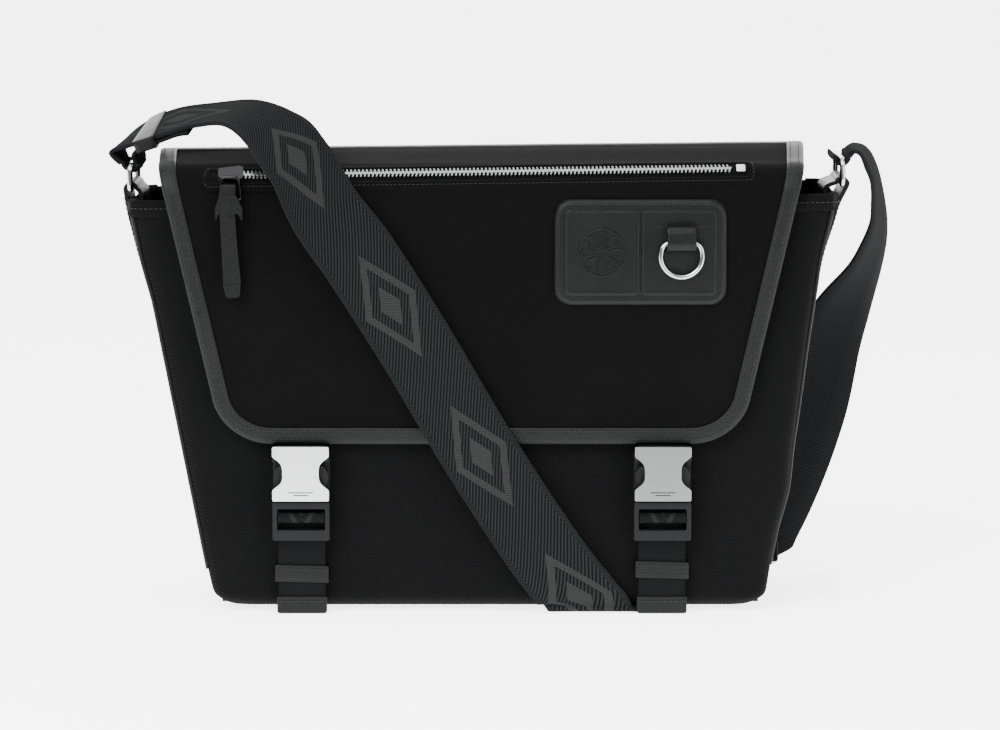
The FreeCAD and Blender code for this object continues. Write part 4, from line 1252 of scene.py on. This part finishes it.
def plug(side, cx):
    """The ladder frame with its centre bar, the neck, the middle tongue and two springy prongs."""
    node = f"{side}_buckle_plug"
    _, _, front, back, z0, _ = extent(node)
    outer = rectangle(cx - 14.9, cx + 14.9, z0, 60.5, 1.2, 4)
    window = rectangle(cx - 12.4, cx + 12.4, 45.6, 56.6, 0.72, 4)
    ladder = frame_mesh("ladder", outer, window, back, front, lambda x, z, y: mm(x, y, z))
    neck = block("neck", (cx - 12.2, front + 0.6, 59.8), (cx + 12.2, back - 0.6, 63.4))
    tongue = prism("tongue", rounded([(cx - 3, 62), (cx + 3, 62), (cx + 2.6, 77), (cx - 2.6, 77)], 0.8, 3),
                   front + 0.9, back - 0.9)
    black_shell(f"{side}_plug_shell", [ladder, neck, tongue], node, node, 0.55)
    x0, x1, y0, y1, z0, z1 = extent(f"{side}_cross_bar")
    path = [mm(x, (y0 + y1) / 2, (z0 + z1) / 2) for x in span(x0, x1, 6)]
    tube(f"{side}_bar", path, (z1 - z0) / 2 * MM, node, "plastic", 14, False,
         (f"{side}_cross_bar",))
    for tag in ("outer", "inner") if cx < 0 else ("inner", "outer"):
        prong(side, tag, cx)


def prong(side, tag, cx):
    """A curved arm that swells to the part the fingers press."""
    node = f"{side}_{tag}_prong"
    x0, x1, front, back, base, _ = extent(node)
    sign = 1 if x0 + x1 > 2 * cx else -1
    furthest = max(x1 - cx, cx - x0) + 1.6
    arm = [(a, base + up) for a, up in (
        (9.4, -0.4), (11.4, -0.4), (13.2, 4.0), (14.2, 8.5), (14.0, 11.5), (12.6, 14.2), (10.6, 15.6),
        (9.2, 14.6), (9.6, 11.0), (10.4, 7.6), (10.2, 4.0))]
    outline = rounded([(cx + sign * min(a, furthest), z) for a, z in arm], 1.6, 3)
    dent = [(cx + sign * mix(a, 11.9, 0.75), mix(z, base + 9.6, 0.45)) for a, z in arm]
    black_shell(f"{side}_{tag}_arm", [prism("arm", outline, front + 0.2, back - 0.2),
                                      prism("dent", rounded(dent, 0.6, 3), front - 0.1, front + 0.6)],
                node, node, 0.45)


BAR_Y = -59.15
FRONT_SEAM = -51.6


def lower_strap(side, cx):
    """Anchor webbing up from the base seam, round the bar, and its free tail down to a leather tab."""
    node = f"{side}_anchor_webbing"
    _, _, y0, _, z0, z1 = extent(node)
    y = (y0 + FRONT_SEAM) / 2
    points = [(cx, y + 0.9, z0), (cx, y, z0 + 10), (cx, y, 30), (cx, y - 0.3, 44), (cx, y - 2.2, z1 - 1)]
    lower_webbing(side, "anchor", upright_frames(points), 25, 1.4, "bag", node, 0.02)
    node = f"{side}_webbing_turn"
    _, _, _, _, z0, z1 = extent(node)
    frames = []
    for angle in span(math.radians(-42), math.radians(205), 20):
        around = Vector((0, -math.cos(angle), math.sin(angle)))
        frames.append((mm(cx, BAR_Y, (z0 + z1) / 2) + around * 2.35 * MM, ACROSS, around))
    lower_webbing(side, "turn", frames, 24.6, 1.3, f"{side}_buckle_plug", node, 0.06)
    node = f"{side}_tail_webbing"
    _, _, y0, y1, z0, z1 = extent(node)
    y = (y0 + y1) / 2
    points = [(cx, y - 1.7, z1 - 8), (cx, y - 0.9, 42), (cx, y - 0.25, 34), (cx, y, 23), (cx, y - 0.2, 15),
              (cx, y, z0 - 1.0)]
    lower_webbing(side, "tail", upright_frames(points), 25, 1.5, "bag", node, 0.10)
    node = f"{side}_tail_tab"
    x0, x1, front, back, z0, z1 = extent(node)
    tab = prism("tab", rectangle(x0, x1, z0, z1, [1.6, 1.6, 0.5, 0.5], 4), front, back)
    finish_mesh(f"{side}_tab_leather", tab, "bag", "leather", (node,), 0.5)
    path = [mm(x, front - 0.05, z1 - 2.4) for x in span(x0 + 1.3, x1 - 1.3, 10)]
    stitches(f"{side}_tab_stitches", [path], [OUT], "bag", 3.0, 2.1, 0.6)
    keeper(side)
    node = f"{side}_flap_webbing"
    _, _, y0, y1, z0, z1 = extent(node)
    points = [(cx, (y0 + y1) / 2, z) for z in (z0, mix(z0, z1, 0.4), z1)]
    lower_webbing(side, "stub", upright_frames(points), 25, 1.4, "flap_front", node, 0.0)


def lower_webbing(side, tag, frames, width, gauge, body, node, start):
    webbing(f"{side}_{tag}_cloth", frames, width, gauge, body, "webbing", (node,), start)


def keeper(side):
    """A leather loop closed behind the webbing, with two stitched lines."""
    node = f"{side}_keeper"
    x0, x1, y0, y1, z0, z1 = extent(node)
    y0 += 0.35
    outer = rectangle(x0, x1, y0, y1, [1.5, 1.5, 0.8, 0.8], 5)
    inner = rectangle(x0 + 1.1, x1 - 1.1, y0 + 0.9, y1 - 0.9, [0.8, 0.8, 0.4, 0.4], 5)

    def bow(x):
        return 0.35 * math.cos((x - x0) * 0.11)

    rows = []
    for outline, z, grow in ((inner, z0, 0), (outer, z0, 0), (outer, (z0 + z1) / 2, 0.25), (outer, z1, 0),
                             (inner, z1, 0), (inner, z0, 0)):
        rows.append([mm(x, y - (grow if y < (y0 + y1) / 2 else 0), z + bow(x)) for x, y in outline])
    mesh = merged(grid_mesh(node, rows, closed=True))
    finish_mesh(f"{node}_leather", mesh, node, "leather", (node,), 0.4)
    paths = [[mm(x, y0 - 0.1, z + bow(x)) for x in span(x0 + 1.6, x1 - 1.6, 10)]
             for z in (z0 + 2.1, z1 - 2.1)]
    stitches(f"{node}_stitches", paths, [OUT, OUT], node, 2.6, 1.8, 0.45)


# ---------------------------------------------------------------- chapes and side rings


def chape(side):
    """The leather strip that holds a side ring: sewn to the gusset, up and over the ring's lower bar."""
    node = f"{side}_chape"
    sign = -1 if side == "left" else 1
    y0, y1 = extent(node)[2:4]
    half = (y1 - y0) / 2
    x0, x1, _, _, bottom, _ = extent(f"{side}_side_ring")
    wire = (x1 - x0) / 2
    reach = wire + 1.5
    path = [(sign * (body_half(z, side == "right") + 1.2 + stand) + lean(z), z + tall(sign * TOP_HALF, z))
            for z, stand in ((166, 0.6), (172, 0.8), (184, 1.2), (198, 1.9), (209, 2.3))]
    path += [((x0 + x1) / 2 + sign * reach * math.cos(a), bottom + wire + reach * math.sin(a))
             for a in (math.radians(d) for d in (-20, 20, 60, 95, 130, 165))]
    rim = MOUTH + tall(sign * TOP_HALF, MOUTH)
    path += [(sign * (TOP_HALF - inset) + lean(MOUTH), rim + up)
             for inset, up in ((3.6, 1.5), (4.2, -5), (5.4, -16))]
    line = smooth_line([mm(x, 0, z) for x, z in path], 5)
    rows = [[point + mm(0, y * half, 0) for y in (-1, -0.9, -0.5, 0, 0.5, 0.9, 1)] for point in line]
    piece = finish_mesh(f"{side}_chape_leather", grid_mesh(node, rows), None, "leather", (node,))
    thicken(piece, 2.2, 0)
    made = piece.modifiers.new("bevel", "BEVEL")
    made.width = 0.4 * MM
    made.segments = 2
    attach(piece, "bag")
    edge_y = half - 2.4
    face = [point + mm(sign * 1.15, 0, 0) for point in line[2:24]]
    paths = [[point + mm(0, y, 0) for point in face] for y in (-edge_y, edge_y)]
    paths.append([face[0] + mm(0, y, 0) for y in span(-edge_y, edge_y, 8)])
    stitches(f"{side}_chape_stitches", paths, [Vector((sign, 0, 0))] * 3, "bag", 2.8, 2.0, 0.5)


def side_ring(side):
    """A rectangular wire ring with rounded corners, as long as the strap is wide."""
    node = f"{side}_side_ring"
    x0, x1, y0, y1, z0, z1 = extent(node)
    wire = (x1 - x0) / 2
    outline = rectangle(y0 + wire, y1 - wire, z0 + wire, z1 - wire, 3.5, 8)
    path = [mm((x0 + x1) / 2, y, z) for y, z in outline]
    tube(f"{side}_ring_metal", path, wire * MM, node, "polished", 16, True, (node,))


# ---------------------------------------------------------------- shoulder strap

STRAP_WIDTH = 40
STRAP_GAUGE = 2
# Places along the strap's centre line, and the direction across its width there.
STRAP_ROUTE = (
    ((-193.9, 0, 233.5), (0, 1, 0)),
    ((-197.3, -0.5, 240.5), (0.1, 0.99, 0.05)),
    ((-187.5, -1.5, 247.2), (0.14, 0.96, 0.22)),
    ((-168.5, -4, 254.5), (0.08, 0.96, 0.26)),
    ((-149.0, -9, 258.7), (0.2, 0.95, 0.22)),
    ((-130.0, -21, 260.2), (0.36, 0.89, 0.24)),
    ((-113.5, -37, 252.5), (0.5, 0.78, 0.33)),
    ((-99.0, -60, 238.5), (0.58, 0.66, 0.44)),
    ((-85.0, -69.5, 214.0), (0.72, 0.4, 0.52)),
    ((-66.0, -66, 187.0), (0.82, 0.16, 0.56)),
    ((-37.5, -63, 141.0), (0.86, 0, 0.51)),
    ((-9.0, -62, 92.0), (0.86, 0, 0.51)),
    ((11.0, -61.5, 60.0), (0.86, 0, 0.51)),
    ((31.0, -60, 30.0), (0.9, 0.05, 0.42)),
    ((44.5, -55.4, 12.0), (0.94, 0, 0.22)),
    ((50.8, -52, 4.8), (1, 0, 0)),
    ((54.0, -51.6, 1.7), (1, 0, 0)),
    ((61.0, -42, 1.4), (1, 0, 0)),
    ((88.0, 0, 1.4), (1, 0, 0)),
    ((115.0, 42, 1.4), (1, 0, 0)),
    ((122.0, 53, 2.0), (1, 0, 0)),
    ((132.5, 58, 9.0), (1, 0, 0)),
    ((148.5, 62, 25.0), (0.97, 0, -0.25)),
    ((163.0, 64, 54.0), (0.93, 0, -0.37)),
    ((176.0, 63, 92.0), (0.95, 0.05, -0.3)),
    ((185.5, 63, 130.0), (0.9, 0.35, -0.21)),
    ((194.5, 61, 152.0), (0.76, 0.62, -0.16)),
    ((205.0, 51, 174.0), (0.46, 0.88, -0.1)),
    ((209.5, 36, 196.0), (0.28, 0.96, -0.05)),
    ((207.0, 19, 215.0), (0.18, 0.97, 0.12)),
    ((203.5, 8, 228.0), (0.1, 0.97, 0.2)),
    ((199.0, 2, 235.6), (0.06, 0.98, 0.18)),
    ((195.0, 0, 239.6), (0, 1, 0.08)),
    ((191.6, 0, 239.9), (0, 1, 0)),
    ((189.2, 0, 237.6), (0, 1, 0)),
)
UNDER_MIDDLE = 18
STEPS = 10
# Where the keeper and the adjuster are, counted in frames of the strap from its left end.
KEEPER_FROM, KEEPER_TO = 22, 28
ADJUSTER_FROM, ADJUSTER_TO = 210, 216


def strap_frames():
    """(point, across, normal) down the whole strap, eased between the route's stations."""
    line = smooth_line([mm(*point) for point, _ in STRAP_ROUTE], STEPS)
    wide = smooth_line([Vector(across).normalized() for _, across in STRAP_ROUTE], STEPS)
    frames = []
    for point, along, across in zip(line, directions(line), wide):
        slant = max(along.cross(across.normalized()).length, 0.85)
        frames.append((point, across.normalized() / slant, along.cross(across).normalized()))
    return frames


def strap():
    frames = strap_frames()
    cut = UNDER_MIDDLE * STEPS
    left = frames[:cut + 1]
    run = sum((b[0] - a[0]).length for a, b in zip(left, left[1:]))
    first = shoulder_webbing("shoulder_strap_front", left, STRAP_WIDTH, STRAP_GAUGE, None,
                             ("shoulder_strap",), 0.0, 0.12)
    second = shoulder_webbing("shoulder_strap_rear", frames[cut:], STRAP_WIDTH, STRAP_GAUGE, None, (),
                              run, 0.12)
    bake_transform(first)
    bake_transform(second)
    ring_turns()
    strap_end(frames)
    adjuster(frames)


def shoulder_webbing(name, frames, width, gauge, body, replaced, start, lip):
    return webbing(name, frames, width, gauge, body, "strap", replaced, start, lip)


def ring_turns():
    """Where the strap goes round each side ring's upper bar."""
    for side, start, end in (("left", -200, 5), ("right", 40, -215)):
        node = f"{side}_strap_loop"
        y0, y1 = extent(node)[2:4]
        x0, x1, _, _, _, top = extent(f"{side}_side_ring")
        wire = (x1 - x0) / 2
        frames = []
        for k, angle in enumerate(span(math.radians(start), math.radians(end), 28)):
            around = Vector((math.cos(angle), 0, math.sin(angle)))
            slack = 1.4 * smooth((abs(k - 14) / 14 - 0.3) / 0.7)
            frames.append((mm((x0 + x1) / 2, 0, top - wire) + around * (wire + 1.2 + slack) * MM,
                           Vector((0, 1, 0)), around))
        shoulder_webbing(f"{side}_loop_cloth", frames, y1 - y0, 1.9, f"{side}_side_ring", (node,), 0.3, 0.1)


END_ROUTE = ((-187.2, 0, 229.2), (-185.6, 0, 233.8), (-186.6, -0.5, 239.4), (-181.8, -1.2, 243.6),
             (-171.0, -2.5, 248.2), (-162.0, -5, 252.0), (-156.0, -6.5, 253.4))


def strap_end(frames):
    """The strap's doubled end comes up from the left ring and lies under the strap, in a keeper."""
    line = smooth_line([mm(*point) for point in END_ROUTE])
    under = []
    for k, (point, along) in enumerate(zip(line, directions(line))):
        t = k / len(line)
        across = Vector((0.02 + 0.10 * t, 1, 0.2 * t)).normalized()
        under.append((point, across, along.cross(across).normalized()))
    end = shoulder_webbing("strap_folded_end", under, STRAP_WIDTH - 1, 1.8, None, (), 0.5, 0.1)
    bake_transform(end)
    band = keeper_band("strap_keeper_leather", frames[KEEPER_FROM:KEEPER_TO], STRAP_WIDTH / 2 + 1.6, 1.7, 5.4)
    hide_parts("strap_keeper")
    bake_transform(band)


def keeper_band(name, frames, half, above, below):
    """A leather loop round the strap, along a few of its frames."""
    outer = rectangle(-half, half, -below, above, 1.4, 4)
    inner = rectangle(-half + 1.1, half - 1.1, -below + 1.0, above - 0.5, 0.6, 4)
    rows = []
    for outline, run in ((outer, frames), (inner, frames[::-1]), (outer, frames[:1])):
        for point, across, normal in run:
            up = normal if normal.z > 0 else -normal
            rows.append([point + across * a * MM + up * b * MM for a, b in outline])
    return finish_mesh(name, merged(grid_mesh(name, rows, closed=True)), None, "leather")


def adjuster(frames):
    """A plain sliding frame behind the bag that sets the strap's length."""
    first, last = frames[ADJUSTER_FROM], frames[ADJUSTER_TO]
    point = (first[0] + last[0]) / 2
    across, normal = first[1].normalized(), first[2].normalized()
    if normal.y < 0:
        normal = -normal
    along = across.cross(normal).normalized()
    tall_half = (last[0] - first[0]).length / MM / 2
    half = STRAP_WIDTH / 2 + 1.4

    def place(a, b, lift):
        return point + across * a * MM + along * b * MM + normal * lift * MM

    outer = rectangle(-half, half, -tall_half, tall_half, 2.0, 5)
    window = rectangle(-half + 2.8, half - 2.8, -tall_half + 2.8, tall_half - 2.8, 1.0, 5)
    mesh = frame_mesh("strap_adjuster_frame", outer, window, -2.4, 2.4, place)
    finish_mesh("strap_adjuster_frame", mesh, "bag", "dark_metal", ("strap_adjuster",), 0.5)
    path = [place(a, 0, 2.2) for a in span(-half + 2, half - 2, 6)]
    tube("strap_adjuster_bar", path, 1.4 * MM, "bag", "dark_metal", 12)


# ---------------------------------------------------------------- set and light


def glow(name, rows, strength):
    """A white sheet of the set that also gives off a little light."""
    sheet = bpy.data.objects.new(name, grid_mesh(name, rows))
    bpy.context.collection.objects.link(sheet)
    white = bpy.data.materials.new(name)
    white.use_nodes = True
    surface = white.node_tree.nodes["Principled BSDF"].inputs
    surface["Base Color"].default_value = (1, 1, 1, 1)
    surface["Roughness"].default_value = 1.0
    surface["Specular IOR Level"].default_value = 0.0
    surface["Emission Color"].default_value = (1, 1, 1, 1)
    surface["Emission Strength"].default_value = strength
    sheet.data.materials.append(white)
    for polygon in sheet.data.polygons:
        polygon.use_smooth = True


def floor_and_light():
    """A white sweep behind the bag, a pale world, and three large soft lamps."""
    run, bend, top = 2.0, 1.6, 4.0
    profile = [(-0.6, 0.0), (run, 0.0)]
    profile += [(run + bend * math.sin(a), bend - bend * math.cos(a)) for a in span(0, math.pi / 2, 16)[1:]]
    profile.append((run + bend, top))
    glow("sweep", [[Vector((x, y, z)) for x in (-5, 5)] for y, z in profile], 3.4)
    world = bpy.data.worlds.new("studio")
    world.use_nodes = True
    background = world.node_tree.nodes["Background"].inputs
    background["Color"].default_value = (1, 1, 1, 1)
    background["Strength"].default_value = 0.4
    bpy.context.scene.world = world
    for name, place, aim, power, size in (
            ("key", (-0.9, -1.5, 1.5), (0, 0, 0.12), 115, 1.5),
            ("fill", (1.4, -1.2, 0.8), (0, 0, 0.12), 45, 1.6),
            ("top", (0.1, -0.1, 1.8), (0, 0, 0.2), 26, 1.4)):
        light = bpy.data.lights.new(name, "AREA")
        light.energy = power
        light.size = size
        lamp = bpy.data.objects.new(name, light)
        lamp.location = place
        lamp.rotation_euler = (Vector(aim) - Vector(place)).to_track_quat("-Z", "Y").to_euler()
        bpy.context.collection.objects.link(lamp)


def camera():
    """Straight on to the bag's front, from a little above."""
    elevation, distance = math.radians(7.5), 2.1
    view = Vector((0, -math.cos(elevation), math.sin(elevation)))
    lens = bpy.data.cameras.new("camera")
    lens.lens = 145
    lens.sensor_width = 36
    lens.clip_start = 0.01
    eye = bpy.data.objects.new("camera", lens)
    eye.location = Vector((0.0052, -0.05, 0.131)) + view * distance
    eye.rotation_euler = (-view).to_track_quat("-Z", "Y").to_euler()
    bpy.context.collection.objects.link(eye)
    bpy.context.scene.camera = eye


def build():
    make_materials()
    rows = body_shell()
    back_tongue()
    seams_and_hem(rows)
    inside()
    flap()
    zip_parts()
    patch()
    for side in ("left", "right"):
        buckle(side)
        chape(side)
        side_ring(side)
    strap()
    floor_and_light()
    camera()


build()
